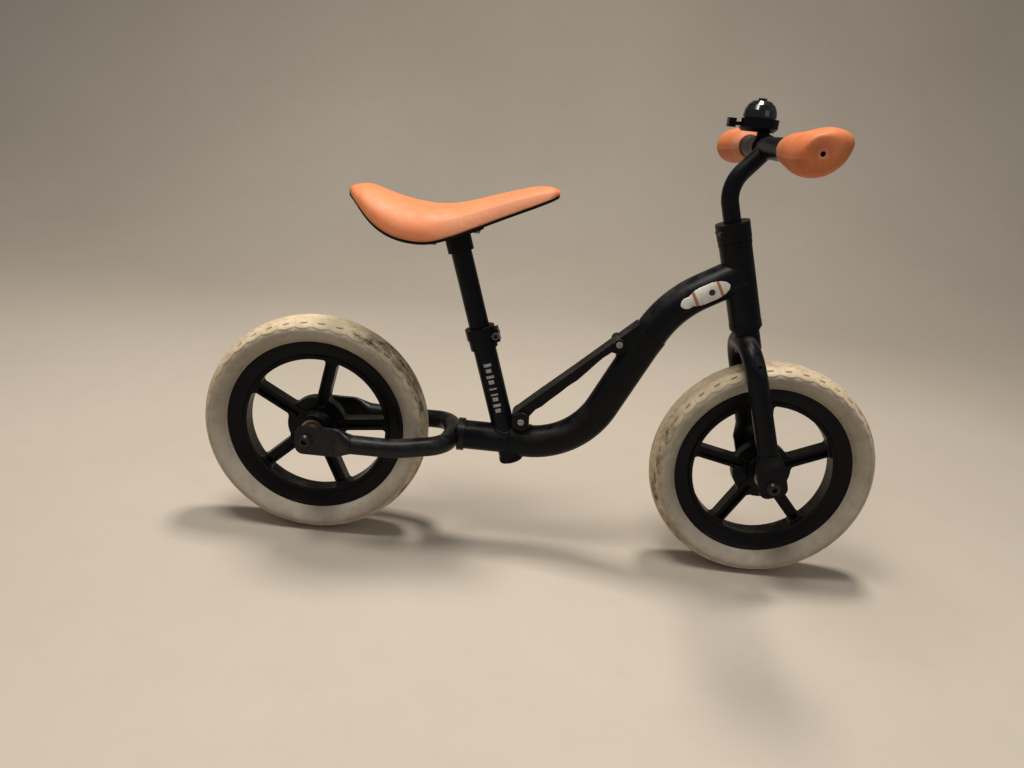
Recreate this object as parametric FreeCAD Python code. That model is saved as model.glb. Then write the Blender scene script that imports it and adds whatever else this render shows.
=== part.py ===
import FreeCAD, Part
import math, os

# Child's balance bike, 10-inch class wheels.
# Frame: origin on the floor midway between the two axles, +X forward,
# +Y to the rider's left, +Z up.  All lengths in millimetres.

# ---------------------------------------------------------------- dimensions
WHEELBASE = 511.0            # axle to axle
WHEEL_R = 127.0              # tyre outer radius (10 inch)
TYRE_HALF_W = 24.5
RIM_R = 100.0                # where the tyre leaves the rim
RIM_BED_R = 95.0             # floor of the rim channel
RIM_HALF_W = 12.5
WINDOW_R = 79.0              # inner radius of the rim
DISC_R = 33.0                # hub disc
HUB_R = 18.0                 # bearing housing
HUB_FACE = 25.0              # hub face, from the wheel's middle plane
SPOKES = 5
SPOKE_W = 13.0
SPOKE_PHASE_REAR = 6.5       # degrees from +X
SPOKE_PHASE_FRONT = 24.0
AXLE_R = 5.0                 # M10 axle
BRG_OR, BRG_W = 13.0, 8.0    # 10 x 26 x 8 bearing
BRG_INNER_R = 7.1
BRG_OUTER_IN_R = 11.0
BALL_R, BALL_PITCH_R, BALLS = 2.2, 9.6, 9
DROP_Y = 51.5                # middle of a dropout plate
DROP_T = 5.0
DROP_H = 33.0
BOLT_HEAD_R = 7.4

HEAD_ANGLE = 72.2            # head axis from the horizontal
RAKE = -3.9                  # the front axle sits this far behind the head axis
HEAD_OR, HEAD_IR = 17.0, 15.0
STEERER_OR, STEERER_IR = 11.1, 9.17
STEM_R = 9.1                 # stem, slides in the steerer
BAR_R = 11.1                 # 22.2 mm crossbar
BAR_X, BAR_Z = 449.5, 475.5  # crossbar axis, X from the rear axle
GRIP_END = 160.0

SEAT_ANGLE = 71.9            # seat tube from the horizontal
SEAT_X0, SEAT_Z0 = 209.5, 154.0
SEAT_TUBE_R, SEAT_TUBE_IR = 12.7, 11.17
POST_R = 11.1                # 22.2 mm post

TUBE_R = 19.0                # main tube at the head
TAIL_R = 16.5                # main tube behind the seat tube
TAIL_Z = 131.5
STAY_R = 10.5
LEG_R = 11.0

XC = WHEELBASE / 2.0
os.makedirs("parts", exist_ok=True)
Vec = FreeCAD.Vector


# ---------------------------------------------------------------- helpers
def V(x, y, z):
    """X is counted from the rear axle, the model's own X from mid wheelbase."""
    return Vec(x - XC, y, z)


def save(name, shape):
    if isinstance(shape, (list, tuple)):
        shape = Part.makeCompound(list(shape))
    sols = shape.Solids
    if not sols or not all(s.isValid() for s in sols):
        raise SystemExit("bad shape " + name)
    if len(sols) == 1:
        shape = sols[0]
    else:
        shape = Part.makeCompound(sols)
    b = shape.BoundBox
    print("%-28s solids %2d  vol %10.1f  x %7.1f %7.1f  y %7.1f %7.1f  z %6.1f %6.1f" % (
        name, len(sols), shape.Volume, b.XMin, b.XMax, b.YMin, b.YMax, b.ZMin, b.ZMax))
    shape.exportStep("parts/%s.step" % name)


def cyl(p, axis, r, h):
    return Part.makeCylinder(r, h, p, axis)


def ring(p, axis, ro, ri, h):
    return cyl(p, axis, ro, h).cut(cyl(p - axis * 0.5, axis, ri, h + 1.0))


def ycyl(x, z, r, y0, y1):
    return cyl(V(x, y0, z), Vec(0, 1, 0), r, y1 - y0)


def yring(x, z, ro, ri, y0, y1):
    return ycyl(x, z, ro, y0, y1).cut(ycyl(x, z, ri, y0 - 1, y1 + 1))


def fuse(shapes):
    s = shapes[0]
    for t in shapes[1:]:
        s = s.fuse(t)
    return s.removeSplitter()


def path_wire(pts, radii):
    """Straight runs joined by tangent arcs: radii has one value per inner point."""
    edges = []
    cur = pts[0]
    for i in range(1, len(pts) - 1):
        a, b, c = pts[i - 1], pts[i], pts[i + 1]
        d1 = (b - a).normalize()
        d2 = (c - b).normalize()
        turn = d1.getAngle(d2)
        r = radii[i - 1]
        tl = r * math.tan(turn / 2)
        p1 = b - d1 * tl
        p2 = b + d2 * tl
        bis = (d2 - d1).normalize()
        centre = b + bis * (r / math.cos(turn / 2))
        mid = centre - bis * r
        if (p1 - cur).Length > 1e-6:
            edges.append(Part.LineSegment(cur, p1).toShape())
        edges.append(Part.Arc(p1, mid, p2).toShape())
        cur = p2
    edges.append(Part.LineSegment(cur, pts[-1]).toShape())
    return Part.Wire(edges)


def pipe(pts, radii, r):
    w = path_wire(pts, radii)
    d = (pts[1] - pts[0]).normalize()
    prof = Part.Wire([Part.Circle(pts[0], d, r).toShape()])
    s = w.makePipeShell([prof], True, True)
    if s.Volume < 0:
        s.reverse()
    return Part.Solid(s.Shells[0]) if s.ShapeType != "Solid" else s


def bent_tube(pts, radii, r, wall):
    return pipe(pts, radii, r).cut(pipe(pts, radii, r - wall))


def mirror_y(s):
    return s.mirror(Vec(0, 0, 0), Vec(0, 1, 0))


def half_space(y_lo, y_hi):
    return Part.makeBox(1400, y_hi - y_lo, 900, Vec(-700, y_lo, -50))


# local frame on the head axis: z along the axis, x forward of it, origin at the axle
HA = math.radians(HEAD_ANGLE)
U = Vec(-math.cos(HA), 0, math.sin(HA))          # up the head axis
UX = Vec(math.sin(HA), 0, math.cos(HA))          # forward, square to it
H0 = V(WHEELBASE, 0, WHEEL_R) - UX * RAKE


def H(s, y=0.0, x=0.0):
    return H0 + U * s + UX * x + Vec(0, y, 0)


# local frame on the seat tube axis
SA = math.radians(SEAT_ANGLE)
W = Vec(-math.cos(SA), 0, math.sin(SA))
WX = Vec(math.sin(SA), 0, math.cos(SA))
S0 = V(SEAT_X0, 0, SEAT_Z0)


def S(t, y=0.0, x=0.0):
    return S0 + W * t + WX * x + Vec(0, y, 0)


def local_box(origin, ex, ey, ez, x0, x1, y0, y1, z0, z1):
    """Box in a local frame given by three unit vectors."""
    pts = [origin + ex * x + ey * y0 + ez * z for x, z in ((x0, z0), (x1, z0), (x1, z1), (x0, z1))]
    face = Part.Face(Part.makePolygon(pts + [pts[0]]))
    return face.extrude(ey * (y1 - y0))


EY = Vec(0, 1, 0)


def stadium_wire(centre, ex, ez, w, h):
    """Rounded slot section, w along ex and h along ez (h > w)."""
    r = w / 2.0
    k = h / 2.0 - r
    a, b = centre - ex * r - ez * k, centre - ex * r + ez * k
    c, d = centre + ex * r + ez * k, centre + ex * r - ez * k
    return Part.Wire([
        Part.LineSegment(a, b).toShape(),
        Part.Arc(b, centre + ez * (k + r), c).toShape(),
        Part.LineSegment(c, d).toShape(),
        Part.Arc(d, centre - ez * (k + r), a).toShape()])


def spline_loop(pts):
    c = Part.BSplineCurve()
    c.interpolate(pts, PeriodicFlag=True)
    return Part.Wire([c.toShape()])


def flat_end(p_round, p_flat, axle, out, tangent, side_h, r_tube):
    """Flattened tube end.  Round section at p_round, plate from p_flat to the axle.
    out = unit vector through the plate, tangent = unit vector from the tube to the axle."""
    up = out.cross(tangent).normalize()
    n = 16

    def section(c, a, b, p):
        pts = []
        for i in range(n):
            th = 2 * math.pi * (i + 0.5) / n
            ct, st = math.cos(th), math.sin(th)
            k = (abs(ct) ** p + abs(st) ** p) ** (-1.0 / p)
            pts.append(c + out * (a * k * ct) + up * (b * k * st))
        return spline_loop(pts)
    d = p_flat - p_round
    secs = [section(p_round, r_tube, r_tube, 2.0),
            section(p_round + d * 0.35, r_tube * 0.78, r_tube + (side_h / 2 - r_tube) * 0.4, 2.3),
            section(p_round + d * 0.7, r_tube * 0.42, r_tube + (side_h / 2 - r_tube) * 0.85, 2.8),
            section(p_flat, DROP_T / 2, side_h / 2, 4.0)]
    neck = Part.makeLoft(secs, True, False)
    # the plate overlaps the neck a little and ends past the axle with round corners
    start = p_flat - tangent * 1.0
    hh = side_h / 2 - 0.6
    over = 11.5
    length = (axle - start).dot(tangent) + over
    rc = 9.5
    o = start - out * (DROP_T / 2)

    def q(l, h):
        return o + tangent * l + up * h
    k = rc * (1 - math.sqrt(0.5))
    wire = Part.Wire([
        Part.LineSegment(q(0, -hh), q(length - rc, -hh)).toShape(),
        Part.Arc(q(length - rc, -hh), q(length - k, -hh + k), q(length, -hh + rc)).toShape(),
        Part.LineSegment(q(length, -hh + rc), q(length, hh - rc)).toShape(),
        Part.Arc(q(length, hh - rc), q(length - k, hh - k), q(length - rc, hh)).toShape(),
        Part.LineSegment(q(length - rc, hh), q(0, hh)).toShape(),
        Part.LineSegment(q(0, hh), q(0, -hh)).toShape()])
    plate = Part.Face(wire).extrude(out * DROP_T)
    return neck.fuse(plate)


# ---------------------------------------------------------------- wheels
def revolve_y(x, z, prof):
    """prof: (r, y) points of a closed section."""
    pts = [Vec(x - XC + 0, y, z + r) for r, y in prof]
    f = Part.Face(Part.makePolygon(pts + [pts[0]]))
    return f.revolve(Vec(x - XC, 0, z), Vec(0, 1, 0), 360)


def tyre(x, z):
    # section from the rim channel out: bead, sidewall, shoulder, crown
    c = []
    right = [(RIM_R, -12.3), (103.0, -17.6), (109.0, -22.6), (114.0, -TYRE_HALF_W), (118.0, -23.4),
             (121.5, -19.6), (124.6, -13.4), (126.4, -7.0), (WHEEL_R, 0.0)]
    left = [(r, -y) for r, y in reversed(right[:-1])]
    prof = right + left
    pts = [Vec(x - XC, y, z + r) for r, y in prof]
    crown = Part.BSplineCurve()
    crown.interpolate(pts)
    bead = [Vec(x - XC, 12.3, z + RIM_R), Vec(x - XC, 9.5, z + RIM_R), Vec(x - XC, 9.5, z + RIM_BED_R),
            Vec(x - XC, -9.5, z + RIM_BED_R), Vec(x - XC, -9.5, z + RIM_R), Vec(x - XC, -12.3, z + RIM_R)]
    edges = [crown.toShape()]
    for a, b in zip(bead[:-1], bead[1:]):
        edges.append(Part.LineSegment(a, b).toShape())
    f = Part.Face(Part.Wire(edges))
    return f.revolve(Vec(x - XC, 0, z), Vec(0, 1, 0), 360)


def window(x, z, mid, half_gap, r0, r1):
    """Prism between two spokes with rounded corners, through the wheel along Y."""
    w = SPOKE_W / 2.0
    step = math.pi / SPOKES
    pts = []
    for r, order in ((r1, 1), (r0, -1)):
        b = math.asin(w / r)
        a0, a1 = mid - step + b, mid + step - b
        if order < 0:
            a0, a1 = a1, a0
        pts.append((r, a0, a1))
    (ra, a0, a1), (rb, b0, b1) = pts

    def p(r, a):
        return Vec(x - XC + r * math.cos(a), -half_gap, z + r * math.sin(a))
    wire = Part.Wire([
        Part.Arc(p(ra, a0), p(ra, mid), p(ra, a1)).toShape(),
        Part.LineSegment(p(ra, a1), p(rb, b0)).toShape(),
        Part.Arc(p(rb, b0), p(rb, mid), p(rb, b1)).toShape(),
        Part.LineSegment(p(rb, b1), p(ra, a0)).toShape()])
    prism = Part.Face(wire).extrude(Vec(0, 2 * half_gap, 0))
    outer = [e for e in prism.Edges if abs(e.Length - 2 * half_gap) < 1e-3
             and (e.Vertexes[0].Point - Vec(x - XC, e.Vertexes[0].Point.y, z)).Length > 60]
    inner = [e for e in prism.Edges if abs(e.Length - 2 * half_gap) < 1e-3
             and (e.Vertexes[0].Point - Vec(x - XC, e.Vertexes[0].Point.y, z)).Length < 60]
    return prism.makeFillet(4.0, outer + inner)


def wheel_core(x, z, phase):
    rim = revolve_y(x, z, [
        (RIM_R, -RIM_HALF_W), (RIM_R, -9.5), (RIM_BED_R, -9.5), (RIM_BED_R, 9.5), (RIM_R, 9.5), (RIM_R, RIM_HALF_W),
        (98.2, RIM_HALF_W), (96.8, 11.6), (93.5, 11.2), (84.0, 8.2), (83.0, 9.6), (WINDOW_R, 9.6),
        (WINDOW_R, -9.6), (83.0, -9.6), (84.0, -8.2), (93.5, -11.2), (96.8, -11.6), (98.2, -RIM_HALF_W)])
    web = ycyl(x, z, 82.0, -7.5, 7.5)
    hub = ycyl(x, z, HUB_R, -HUB_FACE, HUB_FACE)
    dish = yring(x, z, DISC_R, HUB_R + 0.0, 6.0, 20.0).fuse(yring(x, z, DISC_R, HUB_R + 0.0, -20.0, -6.0))
    for k in range(SPOKES):
        a = math.radians(phase + 72 * k)
        d, n = Vec(math.cos(a), 0, math.sin(a)), Vec(-math.sin(a), 0, math.cos(a))
        dish = dish.cut(local_box(V(x, 0, z), d, EY, n, 0, 60, -30, 30, -SPOKE_W / 2, SPOKE_W / 2))
    solid = web.cut(dish)
    for k in range(SPOKES):
        solid = solid.cut(window(x, z, math.radians(phase + 72 * k + 36), 30.0, DISC_R, WINDOW_R))
    solid = solid.fuse(rim).fuse(hub)
    for k in range(SPOKES):
        a = math.radians(phase + 72 * k)
        d, n = Vec(math.cos(a), 0, math.sin(a)), Vec(-math.sin(a), 0, math.cos(a))
        for s in (-1, 1):
            y0, y1 = (2.5, 9.0) if s > 0 else (-9.0, -2.5)
            solid = solid.cut(local_box(V(x, 0, z), d, EY, n, 23, 75, y0, y1, -SPOKE_W / 2 + 2.6, SPOKE_W / 2 - 2.6))
    solid = solid.cut(ycyl(x, z, 10.0, -30, 30))
    for s in (-1, 1):
        y0, y1 = (HUB_FACE - BRG_W, HUB_FACE + 1) if s > 0 else (-HUB_FACE - 1, -HUB_FACE + BRG_W)
        solid = solid.cut(ycyl(x, z, BRG_OR, y0, y1))
    return solid.removeSplitter()


def bearing_sets(x, z):
    outer, inner, balls = [], [], []
    for s in (-1, 1):
        yc = s * (HUB_FACE - BRG_W / 2)
        o = yring(x, z, BRG_OR, BRG_OUTER_IN_R, yc - BRG_W / 2, yc + BRG_W / 2)
        groove = Part.makeTorus(BALL_PITCH_R, BALL_R, V(x, yc, z), EY)
        outer.append(o.cut(groove))
        inner.append(yring(x, z, BRG_INNER_R, AXLE_R, yc - BRG_W / 2, yc + BRG_W / 2))
        for k in range(BALLS):
            a = 2 * math.pi * k / BALLS
            balls.append(Part.makeSphere(BALL_R, V(x + BALL_PITCH_R * math.cos(a), yc, z + BALL_PITCH_R * math.sin(a))))
    return outer, inner, balls


def socket_bolt(p, out, r_head, h_head):
    """Low domed socket head seated at p, pointing along out."""
    head = cyl(p, out, r_head, h_head * 0.55)
    cap = Part.makeCone(r_head, r_head - 1.6, h_head * 0.45, p + out * (h_head * 0.55), out)
    hexa = []
    e1 = Vec(0, 0, 1) if abs(out.z) < 0.5 else Vec(1, 0, 0)
    e2 = out.cross(e1).normalize()
    e1 = e2.cross(out).normalize()
    for k in range(6):
        a = math.radians(60 * k)
        hexa.append(p + out * (h_head + 0.5) + e1 * (3.4 * math.cos(a)) + e2 * (3.4 * math.sin(a)))
    sock = Part.Face(Part.makePolygon(hexa + [hexa[0]])).extrude(out * (-(h_head - 0.8)))
    return head.fuse(cap).cut(sock)


def axle_set(x, z):
    inner_face = DROP_Y - DROP_T / 2
    outer_face = DROP_Y + DROP_T / 2
    rod = ycyl(x, z, AXLE_R, -(outer_face), outer_face)
    bolts = []
    for s in (-1, 1):
        b = socket_bolt(V(x, s * outer_face, z), Vec(0, s, 0), BOLT_HEAD_R, 5.0)
        bolts.append(b)
    sp = [yring(x, z, 8.0, AXLE_R, HUB_FACE, inner_face), yring(x, z, 8.0, AXLE_R, -inner_face, -HUB_FACE),
          yring(x, z, 6.6, AXLE_R, -(HUB_FACE - BRG_W), HUB_FACE - BRG_W)]
    return rod, bolts, sp


for name, x, phase in (("rear", 0.0, SPOKE_PHASE_REAR), ("front", WHEELBASE, SPOKE_PHASE_FRONT)):
    save(name + "_tyre", tyre(x, WHEEL_R))
    save(name + "_wheel_core", wheel_core(x, WHEEL_R, phase))
    o, i, b = bearing_sets(x, WHEEL_R)
    save(name + "_bearing_outer_rings", o)
    save(name + "_bearing_inner_rings", i)
    save(name + "_bearing_balls", b)
    rod, bolts, sp = axle_set(x, WHEEL_R)
    save(name + "_axle", rod)
    save(name + "_axle_bolts", bolts)
    save(name + "_axle_spacers", sp)

# ---------------------------------------------------------------- frame tubes
HEAD_BOT, HEAD_TOP = 176.0, 261.0
head_core = cyl(H(HEAD_BOT), U, HEAD_OR, HEAD_TOP - HEAD_BOT)
head_tube = head_core.cut(cyl(H(HEAD_BOT - 1), U, HEAD_IR, HEAD_TOP - HEAD_BOT + 2))
save("head_tube", head_tube)

seat_bottom, seat_top = -45.0, 111.0
seat_outer = cyl(S(seat_bottom), W, SEAT_TUBE_R, seat_top - seat_bottom)
seat_tube = seat_outer.cut(cyl(S(seat_bottom - 1), W, SEAT_TUBE_IR, seat_top - seat_bottom + 2))
seat_tube = seat_tube.cut(local_box(S0, WX, EY, W, 0, 20, -1.0, 1.0, 84, 115))
save("seat_tube", seat_tube)

MAIN_PTS = [V(447.5, 0, 346.8), V(377.0, 0, 304.4), V(296.2, 0, TAIL_Z), V(236.0, 0, TAIL_Z)]
MAIN_RAD = [120.0, 88.0]
NECK_R = 17.9                # tube radius under the carry handle
TAPER_X, TAIL_X = 221.0, 166.0
back = Vec(-1, 0, 0)
d_up = (MAIN_PTS[1] - MAIN_PTS[0]).normalize()
d_dn = (MAIN_PTS[2] - MAIN_PTS[1]).normalize()
T1 = MAIN_RAD[0] * math.tan(d_up.getAngle(d_dn) / 2)
E1 = MAIN_PTS[1] + d_dn * (T1 + 1.0)
E2 = MAIN_PTS[1] + d_dn * (T1 + 15.0)


def main_solid(off, ext=0.0):
    """Main tube: wide at the head, a taper at the handle seam, narrow to the tail."""
    a = pipe([MAIN_PTS[0] - d_up * ext, MAIN_PTS[1], E1], [MAIN_RAD[0]], TUBE_R + off)
    b = Part.makeCone(TUBE_R + off, NECK_R + off, (E2 - E1).Length, E1, d_dn)
    c = pipe([E2, MAIN_PTS[2], MAIN_PTS[3]], [MAIN_RAD[1]], NECK_R + off)
    e = Part.makeCone(NECK_R + off, TAIL_R + off, 236.0 - TAPER_X, MAIN_PTS[3], V(TAPER_X, 0, TAIL_Z) - MAIN_PTS[3])
    f = cyl(V(TAPER_X, 0, TAIL_Z), back, TAIL_R + off, TAPER_X - TAIL_X + ext)
    return a.fuse(b).fuse(c).fuse(e).fuse(f)


m_out = main_solid(0.0)
m_in = main_solid(-2.0, 2.0)
main_tube = m_out.cut(m_in).cut(head_core).cut(seat_outer)
# keep only the piece outside the head tube
main_tube = max(main_tube.Solids, key=lambda s: s.Volume)
save("main_tube", main_tube)

# ---------------------------------------------------------------- rear stays
Y_STAY_END = DROP_Y
STAY_PTS = [V(156.0, 0, TAIL_Z), V(150.0, -38.0, 131.5), V(98.0, -50.0, 126.4), V(50.0, -DROP_Y, 127.0)]
STAY_RAD = [26.0, 120.0]


def stay():
    o = pipe(STAY_PTS, STAY_RAD, STAY_R)
    i = pipe(STAY_PTS, STAY_RAD, STAY_R - 1.6)
    tube = o.cut(i)
    axle = V(0, -DROP_Y, WHEEL_R)
    tang = (axle - STAY_PTS[-1]).normalize()
    end = flat_end(STAY_PTS[-1], STAY_PTS[-1] + tang * 20.0, axle, Vec(0, -1, 0), tang, DROP_H, STAY_R)
    s = tube.fuse(end).cut(ycyl(0, WHEEL_R, AXLE_R, -60, -40))
    s = s.common(half_space(-200, 0))
    return s


stay_r = stay()
tail_plug = cyl(V(TAIL_X - 0.0, 0, TAIL_Z), Vec(1, 0, 0), TAIL_R, 30)
stay_r = stay_r.cut(tail_plug)
stay_r = max(stay_r.Solids, key=lambda s: s.Volume)
save("rear_stay_right", stay_r)
save("rear_stay_left", mirror_y(stay_r))
yoke = cyl(V(161.0, 0, TAIL_Z), Vec(1, 0, 0), TAIL_R + 2.2, 8.0)
yoke = yoke.cut(cyl(V(TAIL_X, 0, TAIL_Z), Vec(1, 0, 0), TAIL_R, 12.0)).cut(pipe(STAY_PTS, STAY_RAD, STAY_R)).cut(mirror_y(pipe(STAY_PTS, STAY_RAD, STAY_R)))
yoke = yoke.cut(cyl(V(150.0, 0, TAIL_Z), Vec(1, 0, 0), TAIL_R - 3, 17.0))
yoke = max(yoke.Solids, key=lambda s: s.Volume)
save("rear_yoke_ring", yoke)

# plug under the seat tube
plug = cyl(S(-49.5), W, 13.4, 4.5).fuse(cyl(S(-45.1), W, SEAT_TUBE_IR, 7.0)).removeSplitter()
plug = plug.cut(cyl(S(-42.5), W, 8.5, 8.0)).cut(main_tube)
plug = max(plug.Solids, key=lambda s: s.Volume)
save("seat_tube_plug", plug)

# ---------------------------------------------------------------- seat collar
SC0, SC1 = 87.0, 111.0
collar = cyl(S(SC0), W, 15.2, 12.0).fuse(cyl(S(SC0 + 12), W, 16.4, 12.0))
collar = collar.fuse(local_box(S0, WX, EY, W, 6, 19.6, -8.0, 8.0, SC0 + 5, SC1 - 4))
collar = collar.cut(cyl(S(SC0 - 1), W, SEAT_TUBE_R, 30))
collar = collar.cut(local_box(S0, WX, EY, W, 0, 30, -1.0, 1.0, SC0 - 1, SC1 + 1))
cb = S(SC0 + 12.5, 0, 16.0)
collar = collar.cut(cyl(cb + EY * -12, EY, 2.5, 24))
bolt = cyl(cb + EY * -8.0, EY, 2.5, 16.0).fuse(cyl(cb + EY * -12.0, EY, 4.2, 4.0)).fuse(cyl(cb + EY * 8.0, EY, 4.0, 3.0))
hexc = local_box(cb, WX, EY, W, -1.8, 1.8, -12.5, -9.5, -1.8, 1.8)
bolt = bolt.cut(hexc).removeSplitter()
collar = collar.cut(bolt).cut(cyl(cb + EY * -12.0, EY, 4.2, 4.0)).removeSplitter()
collar = max(collar.Solids, key=lambda s: s.Volume)
save("seat_collar", collar)
save("seat_collar_bolt", bolt)

# ---------------------------------------------------------------- seat post and saddle
post = cyl(S(22.0), W, POST_R, 190.0).cut(cyl(S(21.0), W, POST_R - 1.6, 188.0))
save("seat_post", post)

#          x      half width  edge z   top z
SADDLE = [(29.0, 6.0, 391.5, 395.5),
          (36.0, 25.0, 388.5, 398.5),
          (48.0, 41.0, 379.0, 400.0),
          (62.0, 50.5, 367.5, 396.5),
          (80.0, 56.0, 358.5, 391.5),
          (100.0, 57.0, 354.5, 388.0),
          (120.0, 53.5, 355.0, 387.0),
          (140.0, 45.5, 361.0, 389.5),
          (160.0, 38.5, 369.5, 395.0),
          (182.0, 32.5, 379.5, 402.5),
          (205.0, 28.0, 390.0, 410.0),
          (225.0, 24.0, 399.0, 415.0),
          (238.0, 18.0, 405.0, 415.5),
          (246.0, 7.0, 409.0, 412.5)]
SHELL_T = 3.0                # base pan thickness at the rim
BASE_DROP = 0.35             # glue line between the pan and the pad


def saddle_section(x, w, ze, zt, z_off, inset, thick):
    w = w - inset
    n = 9
    pts = []
    for i in range(n):
        a = math.pi * i / (n - 1)
        ca, sa = math.cos(a), math.sin(a)
        y = -w * math.copysign(abs(ca) ** (2 / 2.4), ca)
        zz = ze + (zt - ze) * abs(sa) ** (2 / 2.4)
        pts.append(V(x, y, zz))
    top = Part.BSplineCurve()
    top.interpolate(pts)
    return Part.Wire([top.toShape(), Part.LineSegment(pts[-1], pts[0]).toShape()])


cover = Part.makeLoft([saddle_section(x, w, ze, zt, 0, 0, 0) for x, w, ze, zt in SADDLE], True, False)
cover = Part.Solid(cover.Shells[0]) if cover.ShapeType != "Solid" else cover
save("saddle_cover", cover)


def slab_section(x, w, ze):
    a, b = V(x, -w, ze), V(x, w, ze)
    c, d = V(x, w - 1.0, ze - SHELL_T), V(x, -w + 1.0, ze - SHELL_T)
    return Part.makePolygon([a, b, c, d, a])


base = Part.makeLoft([slab_section(x, max(w - 1.2, 3.0), ze) for x, w, ze, zt in SADDLE], True, False)
base.translate(Vec(0, 0, -BASE_DROP))
base = Part.Solid(base.Shells[0]) if base.ShapeType != "Solid" else base
save("saddle_base", base)

socket = cyl(S(196.0), W, 14.0, 40.0).cut(cyl(S(190.0), W, POST_R, 22.0))
block = Part.makeBox(400, 200, 200, V(0, -100, 300))
under = Part.makeLoft([Part.makePolygon([V(x, -70, ze - SHELL_T), V(x, 70, ze - SHELL_T), V(x, 70, 300), V(x, -70, 300), V(x, -70, ze - SHELL_T)])
                       for x, w, ze, zt in SADDLE], True, False)
socket = socket.common(under)
socket = max(socket.Solids, key=lambda s: s.Volume)
wing = Part.makeBox(62, 34, 40, V(112, -17, 340)).common(under)
keep = Part.makeLoft([Part.makePolygon([V(x, -70, ze - SHELL_T), V(x, 70, ze - SHELL_T), V(x, 70, ze - SHELL_T - 4), V(x, -70, ze - SHELL_T - 4), V(x, -70, ze - SHELL_T)])
                      for x, w, ze, zt in SADDLE], True, False)
wing = Part.makeBox(58, 30, 60, V(113, -15, 330)).common(keep)
wing = wing.cut(cyl(S(150.0), W, POST_R, 62.0))
socket = socket.fuse(wing).removeSplitter()
socket = max(socket.Solids, key=lambda s: s.Volume)
screws = []
holes = []
for sx, sy in ((119.0, -9.0), (119.0, 9.0), (164.0, -9.0), (164.0, 9.0)):
    zl = 354.9 if sx < 140 else 371.3
    h = cyl(V(sx, sy, zl - 10.0), Vec(0, 0, 1), 1.8, 14.0)
    holes.append(h)
for h, (sx, sy) in zip(holes, ((119.0, -9.0), (119.0, 9.0), (164.0, -9.0), (164.0, 9.0))):
    zl = 354.9 if sx < 140 else 371.3
    shank = cyl(V(sx, sy, zl - 7.0), Vec(0, 0, 1), 1.8, 5.9)
    head = cyl(V(sx, sy, zl - 9.2), Vec(0, 0, 1), 3.4, 2.2)
    screws.append(shank.fuse(head).removeSplitter())
for s in screws:
    socket = socket.cut(s)
socket = socket.cut(base)
socket = max(socket.Solids, key=lambda s: s.Volume)
base_c = base
for s in screws:
    base_c = base_c.cut(s)
save("saddle_base", base_c)
save("saddle_socket", socket)
save("saddle_screws", screws)

# ---------------------------------------------------------------- carry handle
gap_low = [(240.0, 165.5), (246.0, 174.0), (252.5, 178.5), (260.5, 187.0), (269.5, 195.5), (278.5, 205.0),
           (288.5, 213.5), (297.5, 224.0), (305.5, 233.5), (313.0, 242.0), (321.5, 249.0)]
top_edge = [(222.5, 166.0), (228.0, 172.0), (247.0, 190.0), (286.0, 226.0), (323.0, 261.0), (347.0, 283.8)]


def zx(pts, y):
    return [V(x, y, z) for x, z in pts]


bar_poly = zx(top_edge, 0) + zx([(352.0, 276.0), (336.0, 246.0)] + list(reversed(gap_low)) + [(240.0, 150.0), (222.0, 150.0)], 0)
bar_face = Part.Face(Part.makePolygon(bar_poly + [bar_poly[0]]))
bar_half = bar_face.extrude(Vec(0, -11.0, 0))
eye_low = ycyl(231.0, 159.0, 10.5, -16.0, 0)
eye_high = ycyl(327.8, 259.4, 5.8, -16.0, 0)
# sleeve that hugs the main tube from the lower eye to the upper seam
sleeve = pipe([E1, MAIN_PTS[2], V(219.0, 0, TAIL_Z)], [MAIN_RAD[1]], NECK_R + 1.0)
sleeve = sleeve.fuse(Part.makeCone(TUBE_R + 0.8, NECK_R + 1.0, (E2 - E1).Length, E1, d_dn))
slab = Part.makeBox(300, 60, 400, V(221.0, -60, 90))
sleeve = sleeve.common(slab)
seam = local_box(V(352.0, 0, 281.0), Vec(math.cos(math.radians(55)), 0, math.sin(math.radians(55))), EY,
                 Vec(-math.sin(math.radians(55)), 0, math.cos(math.radians(55))), 0, 200, -100, 100, -150, 150)
sleeve = sleeve.cut(seam)
# window over the tube inside the finger gap
gap_poly = zx(gap_low + [(330.0, 240.0), (326.0, 222.0), (317.0, 196.0), (302.0, 168.0), (284.0, 152.0), (262.0, 146.0), (246.0, 146.0), (240.0, 156.0)], 0)
gap_face = Part.Face(Part.makePolygon(gap_poly + [gap_poly[0]]))
gap_cut = gap_face.extrude(Vec(0, -12.0, 0))
gap_open = gap_face.extrude(Vec(0, -40.0, 0)).cut(pipe([E1, MAIN_PTS[2], MAIN_PTS[3]], [MAIN_RAD[1]], NECK_R + 1.0))
shell = bar_half.fuse(eye_low).fuse(eye_high).fuse(sleeve)
shell = shell.cut(gap_cut).cut(gap_open)
shell = shell.cut(m_out).cut(cyl(S(seat_bottom), W, SEAT_TUBE_R + 0.0, 200)).cut(cyl(S(-52.0), W, 13.5, 8.0))
shell = shell.common(half_space(-60, 0))
shell = max(shell.Solids, key=lambda s: s.Volume)
hs_screws, cuts = [], []
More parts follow.
